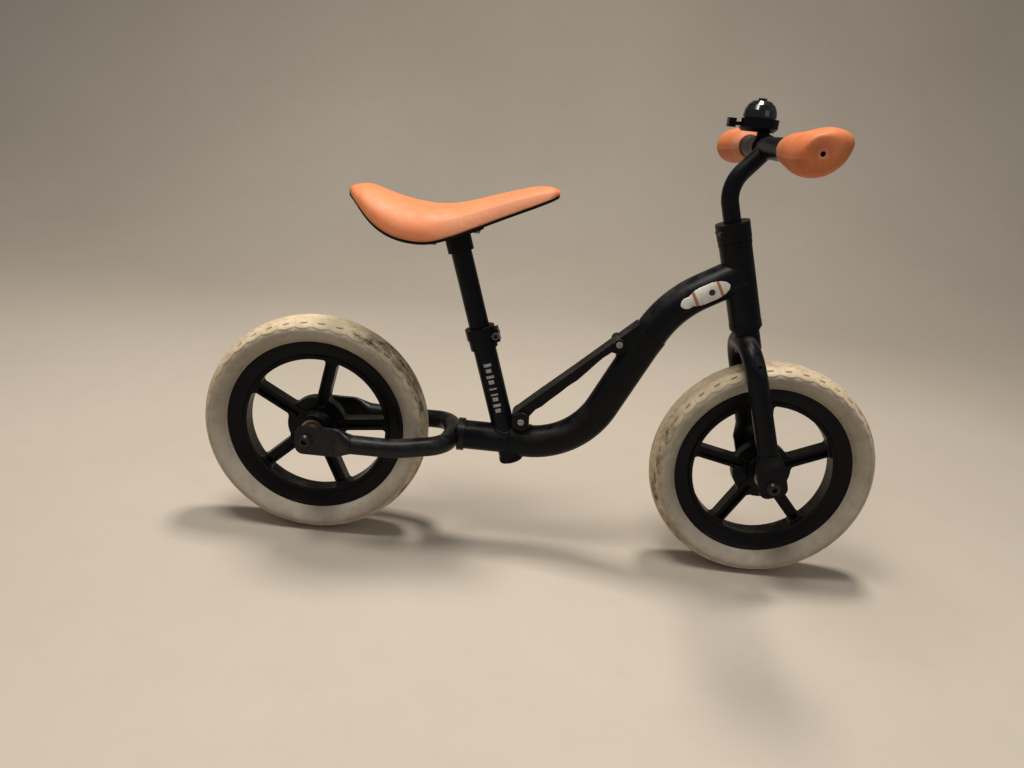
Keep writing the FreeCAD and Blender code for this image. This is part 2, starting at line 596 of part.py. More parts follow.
for sx, sz in ((231.0, 159.0), (327.8, 259.4)):
    sc = ycyl(sx, sz, 3.6, -16.0, -13.0).fuse(ycyl(sx, sz, 1.9, -14.0, 12.0)).removeSplitter()
    sc = sc.cut(local_box(V(sx, -16.1, sz), Vec(1, 0, 0), EY, Vec(0, 0, 1), -2.6, 2.6, 0, 1.2, -0.45, 0.45))
    sc = sc.cut(local_box(V(sx, -16.1, sz), Vec(1, 0, 0), EY, Vec(0, 0, 1), -0.45, 0.45, 0, 1.2, -2.6, 2.6))
    hs_screws.append(sc)
    cuts.append(ycyl(sx, sz, 3.6, -17.5, -13.0).fuse(ycyl(sx, sz, 1.9, -14.0, 12.0)))
shell_r, shell_l = shell, mirror_y(shell)
for c in cuts:
    shell_r = shell_r.cut(c)
    shell_l = shell_l.cut(c)
save("carry_handle_right", max(shell_r.Solids, key=lambda s: s.Volume))
save("carry_handle_left", max(shell_l.Solids, key=lambda s: s.Volume))
save("carry_handle_screws", hs_screws)

# ---------------------------------------------------------------- headset
RUN = STEERER_OR + 0.07
up_b = cyl(H(HEAD_TOP), U, 17.6, 3.2).fuse(cyl(H(HEAD_TOP - 15), U, HEAD_IR, 15)).cut(cyl(H(200), U, RUN, 100)).removeSplitter()
lo_b = cyl(H(HEAD_BOT - 6), U, 17.3, 6.0).fuse(cyl(H(HEAD_BOT), U, HEAD_IR, 15)).cut(cyl(H(150), U, RUN, 100)).removeSplitter()
save("headset_upper_bush", up_b)
save("headset_lower_bush", lo_b)

# ---------------------------------------------------------------- fork
CROWN0, CROWN1 = 144.0, 167.2
STEER_TOP = 284.5
steerer = cyl(H(CROWN0), U, STEERER_OR, STEER_TOP - CROWN0).cut(cyl(H(CROWN0 + 4), U, STEERER_IR, STEER_TOP))
steerer = steerer.cut(local_box(H0, UX, EY, U, -20, 0, -0.8, 0.8, 262, 300))
save("steerer_tube", steerer)
crown = cyl(H(CROWN0), U, 13.8, CROWN1 - CROWN0).cut(cyl(H(CROWN0 - 1), U, STEERER_OR, 40))
save("fork_crown", crown)
race = ring(H(CROWN1), U, 15.4, STEERER_OR, 2.4)
save("headset_crown_race", race)
dust = ring(H(264.6), U, 17.3, STEERER_OR, 2.0)
save("headset_dust_ring", dust)

LEG_PTS = [H(155.0, 0, RAKE), H(151.0, -40.0, RAKE), H(40.0, -DROP_Y + 3.0, RAKE)]
LEG_RAD = [34.0]


def leg():
    o = pipe(LEG_PTS, LEG_RAD, LEG_R)
    i = pipe(LEG_PTS, LEG_RAD, LEG_R - 1.6)
    tube = o.cut(i)
    axle = H(0, -DROP_Y, RAKE)
    # the plate runs along the head axis
    tang = U * -1.0
    start = LEG_PTS[-1]
    end = flat_end(start, H(20.0, -DROP_Y, RAKE), axle, Vec(0, -1, 0), tang, DROP_H - 1.0, LEG_R)
    s = tube.fuse(end)
    s = s.cut(ycyl(WHEELBASE, WHEEL_R, AXLE_R, -60, -40))
    s = s.cut(cyl(H(CROWN0 - 4), U, 13.8, 40)).common(half_space(-200, 0))
    s = s.cut(cyl(H(138.0, -46.0, RAKE), (UX - EY * 0.8).normalize(), 1.8, 40))
    return max(s.Solids, key=lambda q: q.Volume)


leg_r = leg()
save("fork_leg_right", leg_r)
save("fork_leg_left", mirror_y(leg_r))

# ---------------------------------------------------------------- stem collar
ST0, ST1 = 266.6, 284.5
sc = cyl(H(ST0), U, 17.9, ST1 - ST0).cut(cyl(H(ST0 - 1), U, STEERER_OR, 30))
sc = sc.cut(local_box(H0, UX, EY, U, -30, 0, -0.9, 0.9, 260, 300))
sp = H(275.6, 0, -14.4)
sc = sc.cut(cyl(sp + EY * -14, EY, 2.0, 28)).cut(cyl(sp + EY * -20, EY, 3.0, 13)).cut(cyl(sp + EY * 7, EY, 3.0, 13))
save("stem_collar", sc.removeSplitter())
sb = cyl(sp + EY * -7.0, EY, 2.0, 14.0).fuse(cyl(sp + EY * -10.0, EY, 2.9, 3.0)).fuse(cyl(sp + EY * 7.0, EY, 2.9, 2.5))
sb = sb.cut(local_box(sp, UX, EY, U, -1.3, 1.3, -10.5, -8.5, -1.3, 1.3)).removeSplitter()
save("stem_collar_bolt", sb)

# ---------------------------------------------------------------- handlebar
stem_v = H(322.5)
bar_c = V(BAR_X, 0, BAR_Z)
STEM_PTS = [H(212.0), stem_v, bar_c]
stem_o = pipe(STEM_PTS, [36.0], STEM_R)
stem_i = pipe([H(211.0), stem_v, bar_c], [36.0], STEM_R - 1.6)
bar_o = cyl(bar_c + EY * -150, EY, BAR_R, 300)
bar_t = bar_o.cut(cyl(bar_c + EY * -151, EY, BAR_R - 1.6, 302))
stem = stem_o.cut(stem_i).cut(bar_o)
stem = max(stem.Solids, key=lambda s: s.Volume)
save("handlebar_stem", stem)
save("handlebar_crossbar", bar_t)

# grips: round neck, then a rounded three-lobed bulb
LOBES = [(28, 33.0), (58, 26.0), (92, 18.2), (125, 17.2), (160, 17.6), (195, 19.0), (228, 20.4), (259, 20.8), (292, 20.2), (325, 21.6), (357, 27.2)]


def grip_wire(y, t, r_neck):
    pts = []
    for ang, rho in LOBES:
        r = r_neck + (rho - r_neck) * t
        a = math.radians(ang)
        pts.append(V(BAR_X + r * math.cos(a), y, BAR_Z + r * math.sin(a)))
    return spline_loop(pts)


def grip(sign):
    st = [(25.0, 0, 12.4), (27.0, 0, 13.0), (45.0, 0, 13.8), (70.0, 0, 14.6), (88.0, 0.05, 15.2), (100.0, 0.36, 15.6),
          (110.0, 0.70, 15.8), (121.0, 0.94, 15.8), (133.0, 1.0, 15.8), (144.0, 0.93, 15.8), (152.0, 0.68, 15.8),
          (157.5, 0.22, 15.8), (GRIP_END, 0.0, 11.0)]
    g = Part.makeLoft([grip_wire(sign * y, t, r) for y, t, r in st], True, False)
    g = Part.Solid(g.Shells[0]) if g.ShapeType != "Solid" else g
    if g.Volume < 0:
        g.reverse()
    y0 = min(sign * 20.0, sign * 150.0)
    g = g.cut(cyl(bar_c + EY * y0, EY, BAR_R, 130.0))
    y1 = min(sign * 149.0, sign * 165.0)
    g = g.cut(cyl(bar_c + EY * y1, EY, 2.0, 16.0))
    return g


save("grip_right", grip(-1))
save("grip_left", grip(1))

# ---------------------------------------------------------------- bell
BY, BX = 23.0, 441.4
CLAMP_Y, CLAMP_HALF = 18.0, 6.4
bell = V(BX, BY, 0)


def bz(z, dx=0.0, dy=0.0):
    return V(BX + dx, BY + dy, z)


UP = Vec(0, 0, 1)
BASE_Z, BASE_TOP = 490.0, 503.0
band = cyl(bar_c + EY * (CLAMP_Y - CLAMP_HALF), EY, BAR_R + 2.2, 2 * CLAMP_HALF)
earv = Vec(-math.cos(math.radians(60)), 0, -math.sin(math.radians(60)))
earn = Vec(-math.sin(math.radians(60)), 0, math.cos(math.radians(60)))
band = band.fuse(local_box(bar_c, earv, EY, earn, 8, 23, CLAMP_Y - CLAMP_HALF, CLAMP_Y + CLAMP_HALF, -4.0, 4.0))
band = band.fuse(cyl(V(BAR_X - 2.5, CLAMP_Y, BAR_Z + 8), UP, 6.4, BASE_Z - BAR_Z - 8))
band = band.cut(bar_o).cut(local_box(bar_c, earv, EY, earn, 5, 30, CLAMP_Y - 8, CLAMP_Y + 8, -1.0, 1.0))
bs = bar_c + earv * 18.0 + EY * CLAMP_Y
band = band.cut(cyl(bs - earn * 8, earn, 1.9, 16)).removeSplitter()
save("bell_clamp", max(band.Solids, key=lambda s: s.Volume))
bscrew = cyl(bs - earn * 4.0, earn, 1.9, 8.5).fuse(cyl(bs + earn * 4.0, earn, 3.4, 2.4)).fuse(cyl(bs - earn * 6.4, earn, 3.2, 2.4)).removeSplitter()
bscrew = bscrew.cut(local_box(bs, earv, EY, earn, -4, 4, -0.5, 0.5, 5.4, 7))
save("bell_clamp_screw", bscrew)

cup = Part.makeCone(16.5, 20.2, 4.0, bz(BASE_Z), UP).fuse(cyl(bz(BASE_Z + 4), UP, 20.2, BASE_TOP - BASE_Z - 4)).removeSplitter()
cup = cup.cut(cyl(bz(BASE_Z + 3), UP, 18.2, 20))
cup = cup.fuse(cyl(bz(BASE_Z + 2), UP, 3.2, 19.0)).removeSplitter()          # centre post
PIV = bz(BASE_Z + 3, -9.0, 6.0)
# side window for the lever
cup = cup.cut(local_box(bz(0), Vec(-1, 0, 0), EY, UP, 8, 24, -9.5, 14.0, BASE_Z + 3.6, BASE_TOP + 1))
cup = cup.cut(cyl(PIV - UP * 3.5, UP, 1.5, 4.0))
save("bell_base", max(cup.Solids, key=lambda s: s.Volume))
save("bell_lever_pin", cyl(PIV - UP * 1.0, UP, 1.5, 9.8))
dome_o = [(0.0, 521.0), (5.0, 521.0), (9.5, 519.6), (13.4, 516.2), (16.1, 511.0), (16.9, 505.6), (16.9, 503.6)]
dome_i = [(15.6, 503.6), (15.6, 505.8), (14.9, 510.4), (12.6, 515.2), (9.0, 518.2), (5.0, 519.4), (0.0, 519.4)]


def revolve_z(c, prof):
    pts = [c + Vec(r, 0, z) for r, z in prof]
    f = Part.Face(Part.makePolygon(pts + [pts[0]]))
    return f.revolve(c, Vec(0, 0, 1), 360)


dome = revolve_z(bz(0), dome_o + dome_i).cut(cyl(bz(500), UP, 2.2, 30))
save("bell_dome", dome)
post_cut = None
ds = cyl(bz(511.0), UP, 2.2, 10.0).fuse(cyl(bz(521.0), UP, 4.4, 1.6)).removeSplitter()
save("bell_dome_screw", ds)

# lever: flat arm on the pin, thumb tab outside, hammer inside the dome
LZ0 = BASE_Z + 4.0
arm_c = PIV
arm = cyl(Vec(PIV.x, PIV.y, LZ0), UP, 4.2, 5.0)
arm = arm.fuse(local_box(Vec(PIV.x, PIV.y, LZ0), Vec(-1, 0, 0), EY, UP, 0, 17.0, -5.0, 1.6, 0.6, 4.4))
arm = arm.fuse(local_box(Vec(PIV.x, PIV.y, LZ0), Vec(-1, 0, 0), EY, UP, 14.0, 21.5, -7.5, 2.5, -1.4, 7.6))
ham_dir = Vec(0.30, -1, 0).normalize()
ham_n = UP.cross(ham_dir)
arm = arm.fuse(local_box(Vec(PIV.x, PIV.y, LZ0), ham_dir, ham_n, UP, 0, 9.0, -1.6, 1.6, 1.0, 4.0))
hp = Vec(PIV.x, PIV.y, LZ0) + ham_dir * 9.0
arm = arm.fuse(cyl(hp + UP * 1.0, UP, 2.2, 12.0))
arm = arm.cut(cyl(Vec(PIV.x, PIV.y, LZ0 - 3), UP, 1.5 + 0.06, 20)).removeSplitter()
save("bell_lever", max(arm.Solids, key=lambda s: s.Volume))
print("done")
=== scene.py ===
"""Looks for the balance bike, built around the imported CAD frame. Metres, in the row frame."""
import bpy
import math
import numpy as np
from mathutils import Vector, Matrix, noise
from mathutils.bvhtree import BVHTree


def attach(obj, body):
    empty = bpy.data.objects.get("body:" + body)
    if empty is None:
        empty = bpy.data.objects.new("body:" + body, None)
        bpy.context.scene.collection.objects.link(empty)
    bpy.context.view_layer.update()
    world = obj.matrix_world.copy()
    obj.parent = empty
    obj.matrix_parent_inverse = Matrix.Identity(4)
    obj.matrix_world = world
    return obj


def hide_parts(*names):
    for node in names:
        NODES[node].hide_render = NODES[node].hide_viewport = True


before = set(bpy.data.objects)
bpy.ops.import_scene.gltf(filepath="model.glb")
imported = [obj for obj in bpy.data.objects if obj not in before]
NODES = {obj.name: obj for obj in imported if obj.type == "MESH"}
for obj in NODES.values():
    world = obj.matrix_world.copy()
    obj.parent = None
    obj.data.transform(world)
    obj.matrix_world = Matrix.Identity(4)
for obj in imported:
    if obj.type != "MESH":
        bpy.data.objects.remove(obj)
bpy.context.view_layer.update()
XC = 0.2555                       # rear axle to the middle of the wheelbase
WHEEL_Z = 0.127
AX = {"rear": -XC, "front": XC}
COL = bpy.context.scene.collection


# ------------------------------------------------------------------ mesh helpers
def mesh_obj(name, verts, faces, smooth=True):
    me = bpy.data.meshes.new(name)
    me.from_pydata([tuple(v) for v in verts], [], [tuple(f) for f in faces])
    me.validate(clean_customdata=False)
    me.update()
    if smooth:
        me.polygons.foreach_set("use_smooth", [True] * len(me.polygons))
    ob = bpy.data.objects.new(name, me)
    COL.objects.link(ob)
    return ob


def grid_faces(nu, nv, close_u, close_v, flip=False):
    f = []
    for i in range(nu if close_u else nu - 1):
        for j in range(nv if close_v else nv - 1):
            a, b = i * nv + j, ((i + 1) % nu) * nv + j
            c, d = ((i + 1) % nu) * nv + (j + 1) % nv, i * nv + (j + 1) % nv
            f.append((a, d, c, b) if flip else (a, b, c, d))
    return f


def out_normals(ob):
    import bmesh
    bm = bmesh.new()
    bm.from_mesh(ob.data)
    bmesh.ops.recalc_face_normals(bm, faces=bm.faces)
    bm.to_mesh(ob.data)
    bm.free()


def finish_piece(ob, body, mat, replaces=()):
    ob.data.materials.clear()
    ob.data.materials.append(mat)
    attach(ob, body)
    if replaces:
        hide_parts(*replaces)
    return ob


def smoothstep(a, b, x):
    t = np.clip((x - a) / (b - a), 0, 1)
    return t * t * (3 - 2 * t)


def bvh_of(*names):
    vs, fs = [], []
    for n in names:
        me = NODES[n].data
        off = len(vs)
        vs += [v.co.copy() for v in me.vertices]
        fs += [[off + i for i in p.vertices] for p in me.polygons]
    return BVHTree.FromPolygons(vs, fs)


def attr(ob, name, values):
    a = ob.data.attributes.get(name) or ob.data.attributes.new(name, "FLOAT", "POINT")
    a.data.foreach_set("value", np.asarray(values, np.float32).ravel())


# ------------------------------------------------------------------ node helpers
class Mat:
    def __init__(self, name, rough=0.5, metallic=0.0, **sockets):
        self.m = bpy.data.materials.new(name)
        self.m.use_nodes = True
        self.nt = self.m.node_tree
        self.b = self.nt.nodes["Principled BSDF"]
        self.b.inputs["Roughness"].default_value = rough
        self.b.inputs["Metallic"].default_value = metallic
        for k, v in sockets.items():
            self.b.inputs[k.replace("_", " ")].default_value = v
        self.co = self.node("ShaderNodeTexCoord").outputs["Object"]

    def node(self, kind, **props):
        n = self.nt.nodes.new(kind)
        for k, v in props.items():
            setattr(n, k, v)
        return n

    def link(self, a, b):
        self.nt.links.new(a, b)

    def put(self, sock, v):
        if isinstance(v, (int, float)):
            sock.default_value = v
        elif isinstance(v, (tuple, list)):
            sock.default_value = (*v, 1.0) if len(v) == 3 and len(sock.default_value) == 4 else v
        else:
            self.link(v, sock)

    def math(self, op, a, b=0.0, clamp=False):
        n = self.node("ShaderNodeMath", operation=op, use_clamp=clamp)
        self.put(n.inputs[0], a)
        self.put(n.inputs[1], b)
        return n.outputs[0]

    def noise(self, scale, detail=4.0, rough=0.55, stretch=None, distort=0.0, co=None):
        src = co or self.co
        if stretch:
            mp = self.node("ShaderNodeMapping")
            mp.inputs["Scale"].default_value = stretch
            self.link(src, mp.inputs["Vector"])
            src = mp.outputs[0]
        n = self.node("ShaderNodeTexNoise")
        self.link(src, n.inputs["Vector"])
        n.inputs["Scale"].default_value = scale
        n.inputs["Detail"].default_value = detail
        n.inputs["Roughness"].default_value = rough
        n.inputs["Distortion"].default_value = distort
        return n.outputs["Fac"]

    def voronoi(self, scale, feature="F1", co=None):
        n = self.node("ShaderNodeTexVoronoi", feature=feature)
        self.link(co or self.co, n.inputs["Vector"])
        n.inputs["Scale"].default_value = scale
        return n.outputs["Distance"]

    def ramp(self, v, a, b, lo=0.0, hi=1.0):
        n = self.node("ShaderNodeMapRange", clamp=True)
        n.inputs["From Min"].default_value = a
        n.inputs["From Max"].default_value = b
        n.inputs["To Min"].default_value = lo
        n.inputs["To Max"].default_value = hi
        self.put(n.inputs["Value"], v)
        return n.outputs["Result"]

    def mix(self, fac, a, b, mode="MIX"):
        n = self.node("ShaderNodeMix", data_type="RGBA", blend_type=mode)
        self.put(n.inputs["Factor"], fac)
        self.put(n.inputs[6], a)
        self.put(n.inputs[7], b)
        return n.outputs[2]

    def attribute(self, name):
        n = self.node("ShaderNodeAttribute", attribute_name=name)
        return n.outputs["Fac"]

    def up(self, a=0.3, b=0.95):
        g = self.node("ShaderNodeNewGeometry")
        s = self.node("ShaderNodeSeparateXYZ")
        self.link(g.outputs["Normal"], s.inputs[0])
        return self.ramp(s.outputs[2], a, b)

    def xyz(self):
        s = self.node("ShaderNodeSeparateXYZ")
        self.link(self.co, s.inputs[0])
        return s.outputs

    def colour(self, v):
        self.put(self.b.inputs["Base Color"], v)

    def rough(self, v):
        self.put(self.b.inputs["Roughness"], v)

    def bump(self, h, strength=0.3, dist=0.0005, under=None):
        n = self.node("ShaderNodeBump")
        n.inputs["Strength"].default_value = strength
        n.inputs["Distance"].default_value = dist
        self.put(n.inputs["Height"], h)
        if under is not None:
            self.link(under, n.inputs["Normal"])
        self.link(n.outputs[0], self.b.inputs["Normal"])
        return n.outputs[0]


def dusty_black(name, base, light, rough=(0.34, 0.52), peel=900.0, peel_d=0.00004, dust=0.35, dust_col=(0.20, 0.185, 0.16),
                scratch=0.5, spec=0.11):
    m = Mat(name, rough=0.42)
    m.b.inputs["Specular IOR Level"].default_value = spec
    big = m.noise(14.0, 5.0, 0.6)
    c = m.mix(m.ramp(big, 0.35, 0.7), base, light)
    # dust lying on what faces up, in patches
    d = m.math("MULTIPLY", m.up(0.25, 1.0), m.ramp(m.noise(38.0, 8.0, 0.7), 0.46, 0.74))
    d = m.math("MULTIPLY", d, dust)
    c = m.mix(d, c, dust_col)
    # fine rub marks, mostly short
    s1 = m.noise(60.0, 6.0, 0.7, stretch=(6.0, 1.0, 22.0))
    s2 = m.noise(9.0, 3.0, 0.6)
    s = m.math("MULTIPLY", m.ramp(s1, 0.66, 0.78), m.ramp(s2, 0.52, 0.68))
    s = m.math("MULTIPLY", s, scratch)
    c = m.mix(s, c, (0.16, 0.155, 0.15))
    m.colour(c)
    r = m.ramp(m.noise(30.0, 6.0, 0.65), 0.3, 0.75, rough[0], rough[1])
    r = m.math("ADD", r, m.math("MULTIPLY", d, 0.5), clamp=True)
    m.rough(r)
    n1 = m.bump(m.noise(peel, 2.0, 0.5), 0.35, peel_d)
    m.bump(s, 0.3, 0.0001, under=n1)
    return m.m


M = {}
M["frame"] = dusty_black("frame_satin_paint", (0.0026, 0.0030, 0.0048), (0.0045, 0.0050, 0.0075), rough=(0.28, 0.44), peel=700.0, peel_d=0.00005)
M["stay"] = dusty_black("frame_satin_paint_low", (0.0026, 0.0030, 0.0046), (0.0055, 0.0058, 0.0075), rough=(0.28, 0.46), peel=700.0,
                        peel_d=0.00005, dust=0.5, scratch=0.8, spec=0.24)
M["handle"] = dusty_black("handle_moulded_plastic", (0.0032, 0.0033, 0.0036), (0.0055, 0.0055, 0.0060), rough=(0.38, 0.54), peel=2600.0,
                          peel_d=0.00005, dust=0.26, scratch=0.45)
M["wheel"] = dusty_black("wheel_moulded_plastic", (0.0022, 0.0022, 0.0028), (0.0040, 0.0040, 0.0046), rough=(0.28, 0.44), peel=1200.0,
                         peel_d=0.00003, dust=0.35, scratch=0.6)
M["collar"] = dusty_black("collar_black", (0.0024, 0.0024, 0.0030), (0.0042, 0.0042, 0.0050), rough=(0.30, 0.46), peel=1200.0, peel_d=0.00003, dust=0.45)
M["plug"] = dusty_black("plug_black", (0.0022, 0.0022, 0.0026), (0.0038, 0.0038, 0.0042), rough=(0.42, 0.6), peel=1600.0, peel_d=0.00004)
M["bell_body"] = dusty_black("bell_base_plastic", (0.0022, 0.0022, 0.0027), (0.0038, 0.0038, 0.0044), rough=(0.24, 0.36), peel=1500.0,
                             peel_d=0.00002, dust=0.25, scratch=0.4)


def gloss_dome():
    m = Mat("bell_gloss_lacquer", rough=0.12)
    m.b.inputs["Specular IOR Level"].default_value = 0.3
    m.b.inputs["Coat Weight"].default_value = 0.6
    m.b.inputs["Coat Roughness"].default_value = 0.06
    c = m.mix(m.ramp(m.noise(20.0), 0.3, 0.7), (0.0022, 0.0022, 0.0028), (0.0040, 0.0040, 0.0046))
    d = m.math("MULTIPLY", m.up(0.3, 1.0), m.ramp(m.noise(90.0, 8.0, 0.7), 0.55, 0.8))
    m.colour(m.mix(m.math("MULTIPLY", d, 0.25), c, (0.18, 0.17, 0.16)))
    m.rough(m.ramp(m.noise(55.0, 5.0, 0.6), 0.3, 0.8, 0.09, 0.24))
    m.bump(m.noise(260.0, 2.0), 0.15, 0.00005)
    return m.m


M["dome"] = gloss_dome()


def steel(name, base, tint, rough=(0.25, 0.5), rust=0.3, rings=None):
    m = Mat(name, rough=0.35, metallic=1.0)
    c = m.mix(m.ramp(m.noise(120.0, 6.0, 0.6), 0.3, 0.75), base, tint)
    r = m.math("MULTIPLY", m.ramp(m.noise(240.0, 8.0, 0.75), 0.5, 0.72), rust)
    m.colour(m.mix(r, c, (0.22, 0.10, 0.05)))
    m.rough(m.ramp(m.noise(180.0, 4.0, 0.6), 0.3, 0.7, rough[0], rough[1]))
    m.bump(m.noise(900.0, 2.0, 0.5, stretch=(1, 1, 6)), 0.2, 0.00004)
    return m.m


M["bearing"] = steel("bearing_steel_brown", (0.36, 0.28, 0.22), (0.20, 0.13, 0.09), rust=0.8)
M["axle"] = steel("axle_zinc", (0.42, 0.42, 0.43), (0.30, 0.29, 0.28))
M["screw"] = steel("screw_bright", (0.34, 0.34, 0.35), (0.24, 0.235, 0.23), rough=(0.18, 0.34), rust=0.1)


def bolt_mat():
    """Black socket bolt, worn bright on the outer rim."""
    m = Mat("bolt_black_worn", rough=0.35)
    c = m.mix(m.ramp(m.noise(60.0), 0.3, 0.7), (0.0030, 0.0030, 0.0034), (0.0065, 0.0065, 0.0072))
    m.b.inputs["Specular IOR Level"].default_value = 0.3
    g = m.node("ShaderNodeNewGeometry")
    edge = m.math("MULTIPLY", m.ramp(g.outputs["Pointiness"], 0.55, 0.68), 0.55)
    e = m.math("MULTIPLY", edge, m.ramp(m.noise(150.0, 6.0, 0.7), 0.32, 0.55))
    m.colour(m.mix(e, c, (0.26, 0.25, 0.24)))
    m.rough(m.ramp(m.noise(200.0), 0.3, 0.7, 0.28, 0.42))
    m.bump(m.noise(700.0, 3.0), 0.3, 0.00004)
    return m.m


M["bolt"] = bolt_mat()


def tyre_mat(name, patches):
    """Cream foam rubber: sidewall darker and greyer than the yellower tread, partly as painted shade; brown dirt and
    painted shade in the grooves, patches of dirt and of painted shadow.
    """
    m = Mat(name, rough=0.72)
    m.b.inputs["Specular IOR Level"].default_value = 0.32
    tread, groove_dirt_and_shade, dirt_and_shade = m.attribute("tread"), m.attribute("groove_dirt_and_shade"), m.attribute("dirt_and_shade")
    n1 = m.ramp(m.noise(26.0, 7.0, 0.68), 0.34, 0.70)
    # sidewall colours sit below the crown's: partly the rubber's greyer tone, partly painted shade on the tyre's sides
    side = m.mix(n1, (0.31, 0.265, 0.205), (0.43, 0.375, 0.295))
    crown = m.mix(m.ramp(m.noise(60.0, 8.0, 0.7), 0.35, 0.68), (0.52, 0.40, 0.24), (0.66, 0.56, 0.40))
    c = m.mix(tread, side, crown)
    # mottled grime everywhere
    gr = m.math("MULTIPLY", m.ramp(m.noise(110.0, 9.0, 0.78), 0.50, 0.72), 0.38)
    c = m.mix(gr, c, (0.20, 0.155, 0.105))
    # circular scuffs of the sidewall
    c = m.mix(m.math("MULTIPLY", m.ramp(m.noise(8.0, 5.0, 0.7), 0.5, 0.7), 0.22), c, (0.62, 0.58, 0.50))
    # grooves are dark
    # grooves painted dark: dirt in them plus painted shade in the recesses
    c = m.mix(m.math("MULTIPLY", groove_dirt_and_shade, 0.86), c, (0.055, 0.036, 0.022))
    # patches of dirt, some of them painted shadow and painted shade (see the rear tyre's list)
    dn = m.ramp(m.noise(150.0, 10.0, 0.8), 0.36, 0.60)
    dm = m.math("MULTIPLY", dirt_and_shade, m.math("ADD", m.math("MULTIPLY", dn, 0.80), 0.24), clamp=True)
    c = m.mix(dm, c, (0.060, 0.034, 0.018))
    m.colour(c)
    m.rough(m.ramp(m.noise(90.0, 5.0, 0.6), 0.3, 0.7, 0.60, 0.85))
    n = m.bump(m.noise(1500.0, 3.0, 0.6), 0.35, 0.00008)
    m.bump(m.noise(160.0, 6.0, 0.7), 0.35, 0.0004, under=n)
    return m.m


# ------------------------------------------------------------------ tyres
PROF = np.array([(127.0, 0.0), (126.4, 7.0), (124.6, 13.4), (121.5, 19.6), (118.0, 23.4), (114.0, 24.5), (109.0, 22.6), (103.0, 17.6), (100.0, 12.3)])


def spline_pts(P, n):
    """Dense points on a Catmull-Rom curve through P."""
    P = np.asarray(P, float)
    Q = np.vstack([2 * P[0] - P[1], P, 2 * P[-1] - P[-2]])
    out = []
    for i in range(1, len(Q) - 2):
        for t in np.linspace(0, 1, n, endpoint=False):
            a, b, c, d = Q[i - 1], Q[i], Q[i + 1], Q[i + 2]
            out.append(0.5 * (2 * b + (c - a) * t + (2 * a - 5 * b + 4 * c - d) * t * t + (3 * b - a - 3 * c + d) * t ** 3))
    out.append(P[-1])
    return np.array(out)


